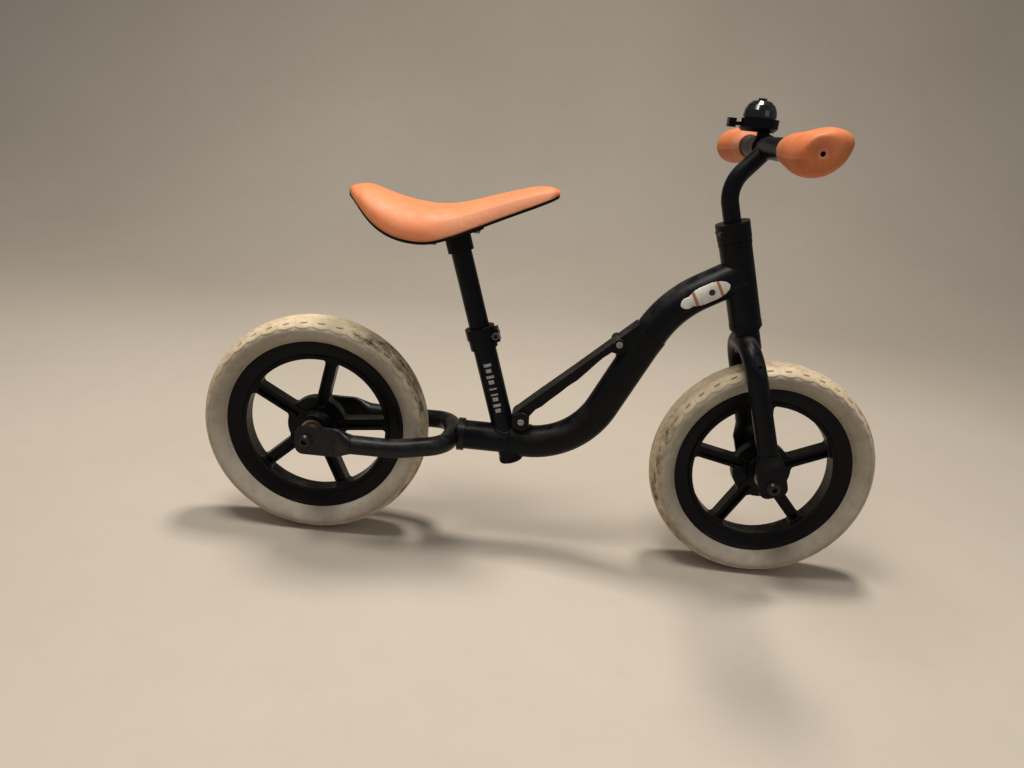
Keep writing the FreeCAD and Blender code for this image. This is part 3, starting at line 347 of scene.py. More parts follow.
def tyre(which, body, phase, patches, seed):
    cx = AX[which]
    # mirror the first point's neighbour so that the crown is flat at y = 0
    half = spline_pts(np.vstack([[126.4, -7.0], PROF]), 60)[60:]
    ds = np.r_[0, np.cumsum(np.hypot(*np.diff(half, axis=0).T))]
    S_END = ds[-1]
    fine = np.arange(0, 31.0, 0.62)
    coarse = np.linspace(31.2, S_END, 16)
    sv = np.r_[fine, coarse]
    hr, hy = np.interp(sv, ds, half[:, 0]), np.interp(sv, ds, half[:, 1])
    s = np.r_[-sv[::-1], sv[1:]]
    r = np.r_[hr[::-1], hr[1:]]
    y = np.r_[-hy[::-1], hy[1:]]
    # section normal
    dr, dy = np.gradient(r), np.gradient(y)
    ln = np.hypot(dr, dy)
    nr, ny = dy / ln, -dr / ln
    NB = 39                                    # tread repeats round the tyre
    nt = NB * 26
    th = np.arange(nt) / nt * 2 * math.pi
    T, Sg = np.meshgrid(th, s, indexing="ij")
    side = np.sign(Sg) * 0.5 * (2 * math.pi / NB) * 0.5
    u = ((T + phase + side) * NB / (2 * math.pi)) % 1.0           # 0..1 in one repeat
    a = np.abs(Sg)
    pitch = 2 * math.pi * 124.0 / NB
    # scalloped edge of the tread: two lobes in a repeat
    lobe = (0.5 - 0.5 * np.cos(2 * math.pi * u)) ** 0.7
    edge = 23.6 + 2.6 * lobe
    off_tread = smoothstep(edge - 0.5, edge + 1.2, a)
    depth = 0.85 * off_tread
    # shoulder pads: shallow creases between lobes
    cre = np.exp(-((((u + 0.5) % 1.0) - 0.5) * pitch / 0.9) ** 2)
    cre = cre * smoothstep(17.5, 20.5, a) * (1 - off_tread)
    depth += 0.40 * cre
    # row of short slits
    du = (u - 0.5) * pitch
    slit = smoothstep(4.0, 3.1, np.abs(du)) * smoothstep(1.15, 0.5, np.abs(a - 18.4 - 0.35 * du / 4))
    depth += 1.7 * slit
    # zigzag groove
    zig = 8.6 + 1.7 * (np.abs(((2 * u) % 1.0) * 2 - 1) * 2 - 1)
    groove = smoothstep(0.95, 0.35, np.abs(a - zig))
    depth += 0.8 * groove
    # centre row: slits set half way between
    du2 = (((u + 0.5) % 1.0) - 0.5) * pitch
    mid = smoothstep(3.6, 2.9, np.abs(du2)) * smoothstep(1.0, 0.4, a)
    depth += 1.2 * mid
    # knocks and wear
    rng = np.random.default_rng(seed)
    wear = np.zeros_like(T)
    for _ in range(26):
        t0, s0, wt, ws, h = rng.uniform(0, 2 * math.pi), rng.uniform(-22, 22), rng.uniform(0.01, 0.05), rng.uniform(2, 7), rng.uniform(0.15, 0.5)
        dt = np.angle(np.exp(1j * (T - t0)))
        wear += h * np.exp(-(dt / wt) ** 2 - ((Sg - s0) / ws) ** 2)
    depth += wear * (1 - off_tread)
    # fine waviness of the moulded foam
    wav = 0.10 * np.sin(T * 57 + 1.3 * np.sin(T * 11)) * np.cos(Sg * 0.5)
    depth += wav * off_tread * smoothstep(49, 44, a)
    depth *= smoothstep(S_END, S_END - 1.5, a)
    R = r[None, :] - depth * nr[None, :] - 0.03
    Y = y[None, :] - depth * ny[None, :]
    X = cx * 1000 + R * np.cos(T)
    Z = WHEEL_Z * 1000 + R * np.sin(T)
    P = np.stack([X, Y, Z], -1) * 0.001
    ns = len(s)
    verts = P.reshape(-1, 3)
    faces = grid_faces(nt, ns, True, False, flip=False)
    # bead: close down into the rim channel
    bead = [(100.0, 9.5), (95.0, 9.5), (95.0, -9.5), (100.0, -9.5)]
    nb = len(bead)
    bv = []
    for t in th:
        for rr, yy in bead:
            bv.append(((cx * 1000 + rr * math.cos(t)) * 0.001, yy * 0.001, (WHEEL_Z * 1000 + rr * math.sin(t)) * 0.001))
    off = len(verts)
    verts = np.vstack([verts, np.array(bv)])
    for i in range(nt):
        k = (i + 1) % nt
        ring_a = [i * ns + ns - 1] + [off + i * nb + j for j in range(nb)] + [i * ns]
        ring_b = [k * ns + ns - 1] + [off + k * nb + j for j in range(nb)] + [k * ns]
        for j in range(len(ring_a) - 1):
            faces.append((ring_a[j], ring_b[j], ring_b[j + 1], ring_a[j + 1]))
    ob = mesh_obj(which + "_tyre_tread", verts, faces)
    out_normals(ob)
    pad = np.zeros(nt * nb)
    tread = 1 - smoothstep(21.0, 28.0, a) * 0.75 - off_tread * 0.25
    attr(ob, "tread", np.r_[np.clip(tread, 0, 1).ravel(), pad])
    # groove mask: grooves, slits, creases and the tread's edge, painted dark as dirt plus painted shade in the recesses
    groove_dirt_and_shade = np.clip(mid * 0.8 + groove * 0.5 + cre * 0.25 + np.exp(-((a - edge - 0.5) / 0.9) ** 2) * 0.34, 0, 1)
    # grooves show dark in some stretches and dusty in others
    st = 0.62 + 0.38 * np.sin(T * 3 + seed) * np.sin(T * 7 + 2 * seed)
    attr(ob, "groove_dirt_and_shade", np.r_[np.clip(groove_dirt_and_shade * st + slit, 0, 1).ravel(), pad])
    # patches of dirt, some of them painted shadow
    dirt_and_shade = np.zeros_like(T)
    for t0, s0, wt, ws, h in patches:
        dt = np.degrees(np.angle(np.exp(1j * (T - math.radians(t0)))))
        dirt_and_shade += h * np.exp(-(dt / wt) ** 2 - ((Sg - s0) / ws) ** 2)
    wob = np.array([[noise.noise(Vector((math.cos(t) * 9 + seed, math.sin(t) * 9, q * 0.16))) for q in s] for t in th[::2]])
    wob = np.repeat(wob, 2, axis=0)[:nt]
    dirt_and_shade = np.clip(dirt_and_shade * (1.0 + 1.6 * wob), 0, 1)
    attr(ob, "dirt_and_shade", np.r_[dirt_and_shade.ravel(), pad])
    finish_piece(ob, body, tyre_mat(which + "_tyre_foam_rubber", None), [which + "_tyre"])
    return ob


# s < 0 is the right-hand side, the one the camera sees. Angles run from +X towards +Z.
# On the rear tyre the patches at 200, 232 and 262 degrees are painted shadow along the lower left edge, and those from
# 22 to 62 degrees are dirt mixed with painted shade.
tyre("rear", "rear_wheel", 0.05, [(62, -19, 7, 5, 1.0), (50, -8, 14, 14, 0.75), (30, -6, 16, 14, 0.7), (22, -14, 8, 6, 0.6),
                                  (-33, -17, 7, 5, 0.95), (-22, -6, 14, 12, 0.5), (200, -14, 10, 10, 0.35), (232, -10, 12, 12, 0.5),
                                  (262, -24, 8, 5, 0.35), (140, 12, 30, 12, 0.4), (320, 15, 25, 12, 0.4)], 3)
tyre("front", "front_wheel", 0.02, [(178, -21, 16, 7, 0.55), (196, -15, 10, 8, 0.75), (222, -17, 14, 8, 0.75), (160, -16, 10, 7, 0.5),
                                    (35, -14, 16, 7, 0.55), (18, -18, 8, 5, 0.5), (112, -12, 8, 10, 0.5), (95, -4, 14, 9, 0.4),
                                    (330, -12, 12, 12, 0.35), (60, 12, 30, 12, 0.4), (250, 15, 25, 12, 0.4)], 8)


# ------------------------------------------------------------------ saddle
SADDLE = np.array([(29.0, 6.0, 391.5, 395.5), (36.0, 25.0, 388.5, 398.5), (48.0, 41.0, 379.0, 400.0), (62.0, 50.5, 367.5, 396.5),
                   (80.0, 56.0, 358.5, 391.5), (100.0, 57.0, 354.5, 388.0), (120.0, 53.5, 355.0, 387.0), (140.0, 45.5, 361.0, 389.5),
                   (160.0, 38.5, 369.5, 395.0), (182.0, 32.5, 379.5, 402.5), (205.0, 28.0, 390.0, 410.0), (225.0, 24.0, 399.0, 415.0),
                   (238.0, 18.0, 405.0, 415.5), (246.0, 7.0, 409.0, 412.5)])


def saddle():
    D = spline_pts(SADDLE, 12)
    nx = len(D)
    half = 34
    verts, skirt, rows = [], [], []
    for x, w, ze, zt in D:
        h = zt - ze
        # how sharp and where the crease runs: none at the back, full along the nose
        k = smoothstep(108, 150, x) * (1 - smoothstep(232, 245, x))
        row = []
        for i in range(2 * half + 1):
            t = i / half - 1.0                       # -1 right edge, 1 left edge
            a = (1 - abs(t)) * math.pi / 2           # 0 at the edge
            e = 2 / 2.4
            yr = w * math.cos(a) ** e
            zr = ze + h * math.sin(a) ** e
            # creased section: skirt leaning in to the crease, then a low crown
            q = abs(t)
            yc_, zc_ = w * 0.80, ze + h * 0.60
            if q > 0.66:
                f = (1 - q) / 0.34
                y2 = w + (yc_ - w) * f + 0.9 * math.sin(math.pi * f) * (w / 40)
                z2 = ze + (zc_ - ze) * f ** 0.92
            else:
                f = q / 0.66
                y2 = yc_ * f
                z2 = zt - (zt - zc_) * f ** 2.1
            yy = yr * (1 - k) + y2 * k
            zz = zr * (1 - k) + z2 * k
            row.append((math.copysign(yy, t) if abs(t) > 1e-9 else 0.0, zz))
            skirt.append(k * float(smoothstep(0.60, 0.70, q)))
        rows.append(row)
        for yy, zz in row:
            verts.append(((x - 255.5) * 0.001, yy * 0.001, zz * 0.001))
    nv = 2 * half + 1
    faces = grid_faces(nx, nv, False, False)
    # underside and the two ends
    off = len(verts)
    for (x, w, ze, zt), row in zip(D, rows):
        for i in range(1, 8):
            yy = row[0][0] + (row[-1][0] - row[0][0]) * i / 8
            verts.append(((x - 255.5) * 0.001, yy * 0.001, (ze + 0.0) * 0.001))
            skirt.append(0.0)
    for j in range(nx - 1):
        a = [j * nv] + [off + j * 7 + i for i in range(7)] + [j * nv + nv - 1]
        b = [(j + 1) * nv] + [off + (j + 1) * 7 + i for i in range(7)] + [(j + 1) * nv + nv - 1]
        for i in range(8):
            faces.append((a[i], a[i + 1], b[i + 1], b[i]))
    for j, rev in ((0, False), (nx - 1, True)):
        loop = [j * nv + i for i in range(nv)] + [off + j * 7 + i for i in reversed(range(7))]
        faces.append(tuple(reversed(loop)) if rev else tuple(loop))
    ob = mesh_obj("saddle_cushion", verts, faces)
    out_normals(ob)
    attr(ob, "skirt", skirt)
    m = Mat("saddle_orange_vinyl", rough=0.55)
    m.b.inputs["Specular IOR Level"].default_value = 0.38
    sk = m.attribute("skirt")
    n1 = m.ramp(m.noise(16.0, 6.0, 0.62), 0.32, 0.70)
    top = m.mix(n1, (0.62, 0.172, 0.058), (0.72, 0.235, 0.092))
    # pale, worn bloom along the skirt and the rear edge
    worn = m.math("MULTIPLY", m.ramp(m.noise(70.0, 8.0, 0.72), 0.40, 0.66), 0.35)
    c = m.mix(worn, top, (0.72, 0.30, 0.155))
    # painted shade: the skirt's colour set darker than the top
    c = m.mix(m.math("MULTIPLY", sk, 0.42), c, (0.46, 0.185, 0.095))
    sx = m.xyz()
    # fine diagonal ribs on the skirt
    dia = m.math("ADD", m.math("MULTIPLY", sx[0], 1.0), m.math("MULTIPLY", sx[2], -1.15))
    rib = m.math("SINE", m.math("MULTIPLY", dia, 2 * math.pi / 0.0021))
    rib01 = m.ramp(rib, -0.9, 0.9)
    brk = m.ramp(m.noise(260.0, 4.0, 0.6), 0.35, 0.65)
    rr = m.math("MULTIPLY", m.math("MULTIPLY", rib01, brk), sk)
    c = m.mix(m.math("MULTIPLY", rr, 0.50), c, (0.70, 0.40, 0.25))
    c = m.mix(m.math("MULTIPLY", m.math("MULTIPLY", m.ramp(m.noise(200.0, 9.0, 0.8), 0.55, 0.75), sk), 0.35), c, (0.42, 0.17, 0.08))
    # specks of grime
    sp = m.math("MULTIPLY", m.ramp(m.noise(420.0, 6.0, 0.75), 0.64, 0.76), 0.5)
    c = m.mix(sp, c, (0.30, 0.12, 0.06))
    m.colour(c)
    m.rough(m.ramp(m.noise(60.0, 6.0, 0.6), 0.3, 0.7, 0.46, 0.66))
    grain = m.voronoi(1500.0)
    n = m.bump(grain, 0.35, 0.00010)
    m.bump(rr, 0.8, 0.00022, under=n)
    finish_piece(ob, "seat", m.m, ["saddle_cover"])
    return ob


saddle()


# ------------------------------------------------------------------ grips
LOBES = [(28, 33.0), (58, 26.0), (92, 18.2), (125, 17.2), (160, 17.6), (195, 19.0), (228, 20.4), (259, 20.8), (292, 20.2), (325, 21.6), (357, 27.2)]
BAR = Vector(((449.5 - 255.5) * 0.001, 0.0, 0.4755))


def closed_interp(vals, ang):
    """Periodic cubic through (angle in degrees, value)."""
    A = np.array([v[0] for v in vals], float)
    B = np.array([v[1] for v in vals], float)
    A = np.r_[A - 360, A, A + 360]
    B = np.r_[B, B, B]
    out = []
    for g in ang:
        i = np.searchsorted(A, g) - 1
        x0, x1 = A[i], A[i + 1]
        m0 = (B[i + 1] - B[i - 1]) / (A[i + 1] - A[i - 1])
        m1 = (B[i + 2] - B[i]) / (A[i + 2] - A[i])
        t, h = (g - x0) / (x1 - x0), x1 - x0
        out.append((2 * t ** 3 - 3 * t ** 2 + 1) * B[i] + (t ** 3 - 2 * t ** 2 + t) * h * m0 + (-2 * t ** 3 + 3 * t ** 2) * B[i + 1] + (t ** 3 - t ** 2) * h * m1)
    return np.array(out)


def grip(side, mat):
    """side -1 is the right-hand grip. Neck, rounded bulb and a flat end with a hole."""
    st = np.array([(72.0, 0, 11.6), (72.3, 0, 12.6), (73.4, 0, 13.2), (76.0, 0, 13.8), (80.0, 0, 14.4),
                   (88.0, 0.05, 15.4), (95.0, 0.19, 15.9), (102.0, 0.41, 15.9), (110.0, 0.70, 15.8), (121.0, 0.94, 15.8), (133.0, 1.0, 15.8), (144.0, 0.93, 15.8),
                   (152.0, 0.70, 15.8), (156.2, 0.42, 15.6), (158.6, 0.16, 14.6), (159.7, 0.0, 12.6), (160.0, 0.0, 9.0)])
    D = spline_pts(st, 7)
    D[:, 1] = np.clip(D[:, 1], 0, 1)
    D = D[D[:, 0] <= 160.0]
    nth = 144
    ang = np.arange(nth) / nth * 360
    lob = closed_interp(LOBES, ang)
    V = []
    for yv, t, rn in D:
        r = rn + (lob - rn) * t
        # mould line: a thin ridge where the two mould halves met
        for a0 in (20.0, 200.0):
            d = (ang - a0 + 180) % 360 - 180
            r = r + 0.42 * np.exp(-(d / 2.2) ** 2) * (0.35 + 0.65 * t)
        for a_, rr in zip(ang, r):
            V.append((BAR.x + rr * 0.001 * math.cos(math.radians(a_)), side * yv * 0.001, BAR.z + rr * 0.001 * math.sin(math.radians(a_))))
    n = len(D)
    faces = grid_faces(n, nth, False, True)
    # end face: lip round the hole, then the hole down to the bar's end
    for rr, yv in ((6.0, 160.0), (3.6, 160.0), (3.0, 159.95), (2.5, 159.9), (2.05, 159.6), (2.0, 158.6), (2.0, 150.2), (0.4, 150.1)):
        off = len(V)
        for a_ in ang:
            V.append((BAR.x + rr * 0.001 * math.cos(math.radians(a_)), side * yv * 0.001, BAR.z + rr * 0.001 * math.sin(math.radians(a_))))
        for i in range(nth):
            k = (i + 1) % nth
            faces.append((off - nth + i, off - nth + k, off + k, off + i))
    faces.append(tuple(range(len(V) - nth, len(V))))
    # inner end: down to the bar and along it
    first = 0
    prev = list(range(first, first + nth))
    for rr, yv in ((11.12, 72.0), (11.12, 84.0)):
        off = len(V)
        for a_ in ang:
            V.append((BAR.x + rr * 0.001 * math.cos(math.radians(a_)), side * yv * 0.001, BAR.z + rr * 0.001 * math.sin(math.radians(a_))))
        for i in range(nth):
            k = (i + 1) % nth
            faces.append((prev[i], off + i, off + k, prev[k]))
        prev = list(range(off, off + nth))
    ob = mesh_obj("grip_%s_rubber" % ("right" if side < 0 else "left"), V, faces)
    out_normals(ob)
    Vn = np.array([v.co for v in ob.data.vertices])
    rr = np.hypot(Vn[:, 0] - BAR.x, Vn[:, 2] - BAR.z) * 1000
    hole = ((rr < 2.3) & (np.abs(Vn[:, 1]) > 0.149)).astype(float)
    attr(ob, "hole", hole)
    bulb = smoothstep(0.086, 0.104, np.abs(Vn[:, 1]))
    attr(ob, "bulb", bulb)
    attr(ob, "lip", np.exp(-((rr - 3.1) / 0.5) ** 2) * (np.abs(Vn[:, 1]) > 0.1594))
    finish_piece(ob, "handlebar", mat, ["grip_right" if side < 0 else "grip_left"])
    return ob


def grip_mat():
    m = Mat("grip_orange_rubber", rough=0.62)
    m.b.inputs["Specular IOR Level"].default_value = 0.35
    n1 = m.ramp(m.noise(28.0, 6.0, 0.65), 0.32, 0.70)
    neck = m.mix(n1, (0.44, 0.150, 0.068), (0.56, 0.215, 0.110))
    bulb = m.mix(n1, (0.47, 0.120, 0.036), (0.60, 0.185, 0.065))
    c = m.mix(m.attribute("bulb"), neck, bulb)
    gr = m.math("MULTIPLY", m.ramp(m.noise(95.0, 9.0, 0.75), 0.50, 0.72), 0.42)
    c = m.mix(gr, c, (0.26, 0.095, 0.04))
    # painted highlight: a lighter ring where a raised lip round the hole would catch the light
    c = m.mix(m.math("MULTIPLY", m.attribute("lip"), 0.5), c, (0.72, 0.34, 0.20))
    # painted shade: the hole's walls and floor set near black
    c = m.mix(m.attribute("hole"), c, (0.010, 0.006, 0.004))
    m.colour(c)
    m.rough(m.ramp(m.noise(80.0, 6.0, 0.6), 0.3, 0.7, 0.52, 0.74))
    n = m.bump(m.noise(1800.0, 3.0, 0.6), 0.4, 0.00007)
    m.bump(m.noise(130.0, 5.0, 0.6), 0.2, 0.0004, under=n)
    return m.m


GM = grip_mat()
grip(-1, GM)
grip(1, GM)


# ------------------------------------------------------------------ weld beads
def bead(name, pts, nrm, r, body, mat, slot="frame_paint", closed=True, ripple=0.0024):
    """A stacked-coin weld: a small ribbed ridge along pts."""
    P = [Vector(p) for p in pts]
    n = len(P)
    L = [0.0]
    for i in range(1, n):
        L.append(L[-1] + (P[i] - P[i - 1]).length)
    V, F = [], []
    nc = 10
    for i in range(n):
        a, b = P[(i - 1) % n if closed else max(i - 1, 0)], P[(i + 1) % n if closed else min(i + 1, n - 1)]
        t = (b - a).normalized()
        nn = Vector(nrm[i])
        nn = (nn - t * nn.dot(t)).normalized()
        bb = t.cross(nn)
        rr = r * (1.0 + 0.14 * math.sin(2 * math.pi * L[i] / ripple) + 0.10 * noise.noise(P[i] * 300))
        for k in range(nc):
            g = 2 * math.pi * k / nc
            V.append(P[i] + nn * (rr * 0.75 * math.cos(g)) + bb * (rr * 1.25 * math.sin(g)))
    F = grid_faces(n, nc, closed, True)
    if not closed:
        F.append(tuple(range(nc)))
        F.append(tuple(range((n - 1) * nc, n * nc)))
    ob = mesh_obj(name, V, F)
    out_normals(ob)
    return finish_piece(ob, body, mat)


def dirv(deg):
    return Vector((math.cos(math.radians(deg)), 0, math.sin(math.radians(deg))))


W = Vector((-math.cos(math.radians(71.9)), 0, math.sin(math.radians(71.9))))
WX = Vector((math.sin(math.radians(71.9)), 0, math.cos(math.radians(71.9))))
U = Vector((-math.cos(math.radians(72.2)), 0, math.sin(math.radians(72.2))))
UX = Vector((math.sin(math.radians(72.2)), 0, math.cos(math.radians(72.2))))
EY = Vector((0, 1, 0))
S0 = Vector(((209.5 - 255.5) * 0.001, 0, 0.154))
H0 = Vector((XC, 0, WHEEL_Z)) + UX * 0.0039


def weld_from(tree, origin, ax, e1, e2, radius, count, name, body, mat, r=0.0016, reach=0.2, lift=0.0002):
    pts, nr = [], []
    for i in range(count):
        g = 2 * math.pi * i / count
        d = e1 * math.cos(g) + e2 * math.sin(g)
        hit, hn, _, _ = tree.ray_cast(origin + d * (radius + 0.0002), ax, reach)
        if hit is None:
            continue
        pts.append(hit + d * lift)
        nr.append((hn + d).normalized())
    if len(pts) > count * 0.9:
        return bead(name, pts, nr, r, body, mat)
    print("weld", name, "missed", len(pts), count)


main_bvh = bvh_of("main_tube")
head_bvh = bvh_of("head_tube")
weld_from(main_bvh, S0 + W * 0.03, -W, WX, EY, 0.0127, 220, "weld_seat_tube", "frame", M["frame"])
d_up = (Vector((377.0, 0, 304.4)) - Vector((447.5, 0, 346.8))).normalized()
p_up = Vector(((447.5 - 255.5) * 0.001, 0, 0.3468)) + d_up * 0.035
e_up = Vector((-d_up.z, 0, d_up.x))
weld_from(head_bvh, p_up, -d_up, e_up, EY, 0.019, 260, "weld_head_tube", "frame", M["frame"], r=0.0017)


# ------------------------------------------------------------------ sticker and marks
def patch(name, tree, origin, du, dv, dn, outline, body, mat, lift=0.00012, thick=0.00018, step=0.0008):
    """A thin skin laid on a surface: a grid in the plane (du, dv) thrown along dn, kept where outline(u, v) is true."""
    umin, umax, vmin, vmax = outline["box"]
    inside = outline["fn"]
    nu, nv = int((umax - umin) / step) + 2, int((vmax - vmin) / step) + 2
    idx, V, uvw = {}, [], []
    for i in range(nu):
        for j in range(nv):
            u, v = umin + (umax - umin) * i / (nu - 1), vmin + (vmax - vmin) * j / (nv - 1)
            if inside(u, v) <= 0:
                continue
            hit, hn, _, _ = tree.ray_cast(origin + du * u + dv * v - dn * 0.08, dn, 0.16)
            if hit is None:
                continue
            if hn.dot(dn) > 0:
                hn = -hn
            idx[(i, j)] = len(V)
            V.append(hit + hn * (lift + thick))
            uvw.append((u, v, hn))
    F = []
    for (i, j), a in idx.items():
        q = [(i, j), (i + 1, j), (i + 1, j + 1), (i, j + 1)]
        if all(k in idx for k in q):
            F.append([idx[k] for k in q])
    n = len(V)
    V2 = V + [p - h * thick for p, (_, _, h) in zip(V, uvw)]
    from collections import Counter
    cnt = Counter()
    for f in F:
        for a, b in zip(f, f[1:] + f[:1]):
            cnt[(min(a, b), max(a, b))] += 1
    F2 = list(F) + [[k + n for k in reversed(f)] for f in F]
    for f in F:
        for a, b in zip(f, f[1:] + f[:1]):
            if cnt[(min(a, b), max(a, b))] == 1:
                F2.append([b, a, a + n, b + n])
    used = sorted({k for f in F2 for k in f})
    re = {k: i for i, k in enumerate(used)}
    ob = mesh_obj(name, [V2[k] for k in used], [[re[k] for k in f] for f in F2])
    out_normals(ob)
    uu = [(uvw[k % n][0], uvw[k % n][1]) for k in used]
    attr(ob, "pu", [a for a, _ in uu])
    attr(ob, "pv", [b for _, b in uu])
    return finish_piece(ob, body, mat)


def lathe_ring(name, x, z, prof, body, mat):
    """A ring turned round a wheel's axle from a closed outline of (radius, y) in millimetres."""
    V, n = [], 96
    for i in range(n):
        g = 2 * math.pi * i / n
        for r, yv in prof:
            V.append((x + r * 0.001 * math.cos(g), yv * 0.001, z + r * 0.001 * math.sin(g)))
    ob = mesh_obj(name, V, grid_faces(n, len(prof), True, True), smooth=False)
    out_normals(ob)
    return finish_piece(ob, body, mat)


def seal_mat():
    m = Mat("bearing_seal_rubber", rough=0.55)
    m.b.inputs["Specular IOR Level"].default_value = 0.25
    c = m.mix(m.ramp(m.noise(260.0, 6.0, 0.7), 0.35, 0.7), (0.085, 0.050, 0.030), (0.050, 0.030, 0.020))
    m.colour(c)
    m.rough(m.ramp(m.noise(300.0), 0.3, 0.7, 0.45, 0.65))
    m.bump(m.noise(900.0, 3.0), 0.2, 0.00004)
    return m.m


SEAL = seal_mat()
for which in ("rear", "front"):
    for sgn, tag in ((-1, "right"), (1, "left")):
        yo = sgn * 24.55
        yi = sgn * 23.95
        lathe_ring("%s_bearing_seal_%s" % (which, tag), AX[which], WHEEL_Z,
                   [(7.35, yi), (10.97, yi), (10.97, yo), (9.2, yo - sgn * 0.12), (7.35, yo)], which + "_wheel", SEAL)


def badge_shape(u, v):
    k = (u - 0.004) / 0.0235
    body = abs(k) < 1 and abs(v) < 0.0098 * (1 - abs(k) ** 2.4) ** 0.5
    tail = -0.0275 < u < -0.012 and abs(v + 0.0005) < 0.0062 * math.sqrt(max(0.0, 1 - ((u + 0.019) / 0.0086) ** 2))
    return 1.0 if body or tail else -1.0


def badge_mat():
    m = Mat("badge_vinyl", rough=0.34)
    pu, pv = m.attribute("pu"), m.attribute("pv")
    white = m.mix(m.ramp(m.noise(120.0, 6.0, 0.7), 0.42, 0.72), (0.70, 0.68, 0.62), (0.52, 0.49, 0.43))
    b1 = m.math("MULTIPLY", m.ramp(pu, 0.0150, 0.0156), m.ramp(pu, 0.0186, 0.0180))
    b2 = m.math("MULTIPLY", m.ramp(pu, -0.0128, -0.0122), m.ramp(pu, -0.0088, -0.0094))
    c = m.mix(m.math("MAXIMUM", b1, b2), white, (0.36, 0.145, 0.055))
    du = m.math("SUBTRACT", pu, 0.0075)
    dist = m.math("SQRT", m.math("ADD", m.math("MULTIPLY", du, du), m.math("MULTIPLY", pv, pv)))
    c = m.mix(m.ramp(dist, 0.0036, 0.0031), c, (0.012, 0.011, 0.010))
    scuff = m.math("MULTIPLY", m.ramp(m.noise(420.0, 6.0, 0.8), 0.60, 0.72), 0.5)
    m.colour(m.mix(scuff, c, (0.16, 0.13, 0.11)))
    m.rough(m.ramp(m.noise(160.0), 0.3, 0.7, 0.25, 0.45))
    m.bump(m.noise(500.0, 3.0), 0.2, 0.00004)
    return m.m


BADGE = badge_mat()
d_tube = Vector((math.cos(math.radians(30)), 0, math.sin(math.radians(30))))
n_tube = Vector((-d_tube.z, 0, d_tube.x))
for tag, dn in (("right", EY), ("left", -EY)):
    patch("badge_" + tag, main_bvh, Vector((0.1535, 0, 0.3232)), d_tube, n_tube, dn,
          {"box": (-0.028, 0.028, -0.0105, 0.0105), "fn": badge_shape}, "frame", BADGE, step=0.0006)


def mark_mat():
    m = Mat("mark_grey_print", rough=0.45)
    m.colour(m.mix(m.ramp(m.noise(300.0, 6.0, 0.7), 0.42, 0.70), (0.34, 0.34, 0.33), (0.20, 0.20, 0.195)))
    m.rough(m.ramp(m.noise(160.0), 0.3, 0.7, 0.38, 0.55))
    m.bump(m.noise(500.0, 3.0), 0.2, 0.00004)
    return m.m


MARK = mark_mat()
seat_bvh = bvh_of("seat_tube")
BARS = [(0.0135 + 0.0068 * k, 0.0135 + 0.0068 * k + w, hw) for k, (w, hw) in enumerate(
    [(0.0045, 0.0030), (0.0032, 0.0042), (0.0045, 0.0030), (0.0018, 0.0040), (0.0018, 0.0040), (0.0045, 0.0030), (0.0030, 0.0042), (0.0042, 0.0030), (0.0035, 0.0042)])]
for tag, dn in (("right", EY), ("left", -EY)):
    for k, (u0, u1, hw) in enumerate(BARS):
        patch("mark_%s_%d" % (tag, k), seat_bvh, S0, W, WX, dn, {"box": (u0, u1, -hw, hw), "fn": lambda u, v: 1.0}, "frame", MARK, step=0.0005)


# ------------------------------------------------------------------ materials of the CAD pieces
def give(names, mat):
    for n in names:
        o = NODES[n]
        if not o.material_slots:
            o.data.materials.append(mat)
        for s in o.material_slots:
            s.material = mat


give(["head_tube", "seat_tube", "main_tube", "fork_crown", "fork_leg_right", "fork_leg_left", "steerer_tube", "seat_post",
      "handlebar_stem", "handlebar_crossbar"], M["frame"])
give(["rear_stay_right", "rear_stay_left", "rear_yoke_ring"], M["stay"])
give(["carry_handle_right", "carry_handle_left"], M["handle"])
give(["rear_wheel_core", "front_wheel_core"], M["wheel"])
give(["seat_collar", "stem_collar", "headset_dust_ring", "headset_crown_race", "headset_upper_bush", "headset_lower_bush"], M["collar"])
give(["seat_tube_plug", "saddle_base", "saddle_socket"], M["plug"])
give(["bell_clamp", "bell_base", "bell_lever"], M["bell_body"])
give(["bell_dome", "bell_dome_screw"], M["dome"])
give([a + b for a in ("rear", "front") for b in ("_bearing_outer_rings", "_bearing_inner_rings", "_bearing_balls")], M["bearing"])
give(["rear_axle", "front_axle", "rear_axle_spacers", "front_axle_spacers", "bell_lever_pin"], M["axle"])
give(["carry_handle_screws", "saddle_screws"], M["screw"])
give(["rear_axle_bolts", "front_axle_bolts", "seat_collar_bolt", "stem_collar_bolt", "bell_clamp_screw"], M["bolt"])


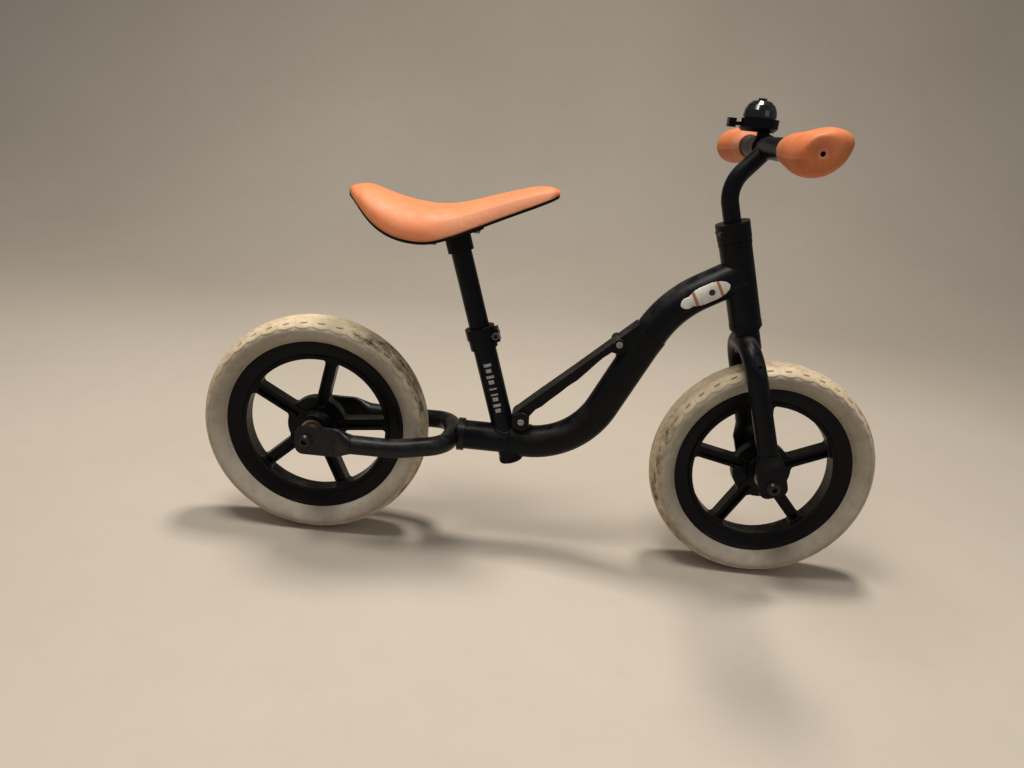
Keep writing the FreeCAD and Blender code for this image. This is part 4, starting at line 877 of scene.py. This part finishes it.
# ------------------------------------------------------------------ floor, light, camera
def room():
    """Pale floor that rises into a backdrop with no visible edge."""
    prof = [(-6.0, 0.0), (-2.0, 0.0), (0.0, 0.0), (1.2, 0.0)]
    for k in range(1, 17):
        a = math.radians(90 * k / 16)
        prof.append((1.2 + 1.3 * math.sin(a), 1.3 - 1.3 * math.cos(a)))
    prof += [(2.5, 3.0), (2.5, 6.0)]
    V, n = [], len(prof)
    xs = np.linspace(-7, 7, 15)
    for x in xs:
        for y, z in prof:
            V.append((x, y, z - 0.0002))
    ob = mesh_obj("floor_backdrop", V, grid_faces(len(xs), n, False, False, flip=True))
    m = Mat("floor_pale", rough=0.75)
    c = m.mix(m.ramp(m.noise(1.3, 5.0, 0.55), 0.3, 0.7), (0.46, 0.405, 0.340), (0.51, 0.455, 0.385))
    m.colour(m.mix(m.math("MULTIPLY", m.ramp(m.noise(24.0, 8.0, 0.7), 0.5, 0.75), 0.25), c, (0.42, 0.37, 0.30)))
    m.bump(m.noise(320.0, 4.0), 0.1, 0.0003)
    ob.data.materials.append(m.m)


def area(name, loc, target, size, power, colour=(1, 1, 1)):
    d = bpy.data.lights.new(name, "AREA")
    d.shape = "RECTANGLE"
    d.size, d.size_y = size
    d.energy = power
    d.color = colour
    o = bpy.data.objects.new(name, d)
    o.location = loc
    o.rotation_euler = (Vector(target) - Vector(loc)).to_track_quat("-Z", "Y").to_euler()
    COL.objects.link(o)


room()
area("key", (-0.45, -0.35, 2.0), (0.0, 0.0, 0.2), (0.6, 0.6), 24, (1.0, 0.95, 0.87))
area("over", (0.15, 0.30, 2.2), (0.05, 0.0, 0.2), (0.35, 0.35), 33, (1.0, 0.93, 0.84))
area("fill", (1.4, -1.7, 1.3), (0.1, 0.0, 0.25), (1.2, 1.0), 3.5, (0.92, 0.95, 1.0))
world = bpy.data.worlds.new("studio")
bpy.context.scene.world = world
world.use_nodes = True
world.node_tree.nodes["Background"].inputs[0].default_value = (0.80, 0.80, 0.82, 1)
world.node_tree.nodes["Background"].inputs[1].default_value = 0.27

CM = [[0.994767236, 0.028301219, 0.098169173], [0.102072095, -0.316761738, -0.942996972], [0.004408274, 0.948082825, -0.317992963]]
cam = bpy.data.cameras.new("camera")
cam.sensor_width = 36.0
cam.lens = 27.53
cam.clip_start = 0.01
co = bpy.data.objects.new("camera", cam)
R = Matrix((Vector(CM[0]), -Vector(CM[1]), -Vector(CM[2]))).transposed()
co.matrix_world = Matrix.Translation((-0.04241, -0.83259, 0.47690)) @ R.to_4x4()
COL.objects.link(co)
bpy.context.scene.camera = co
bpy.context.scene.view_settings.view_transform = "Standard"
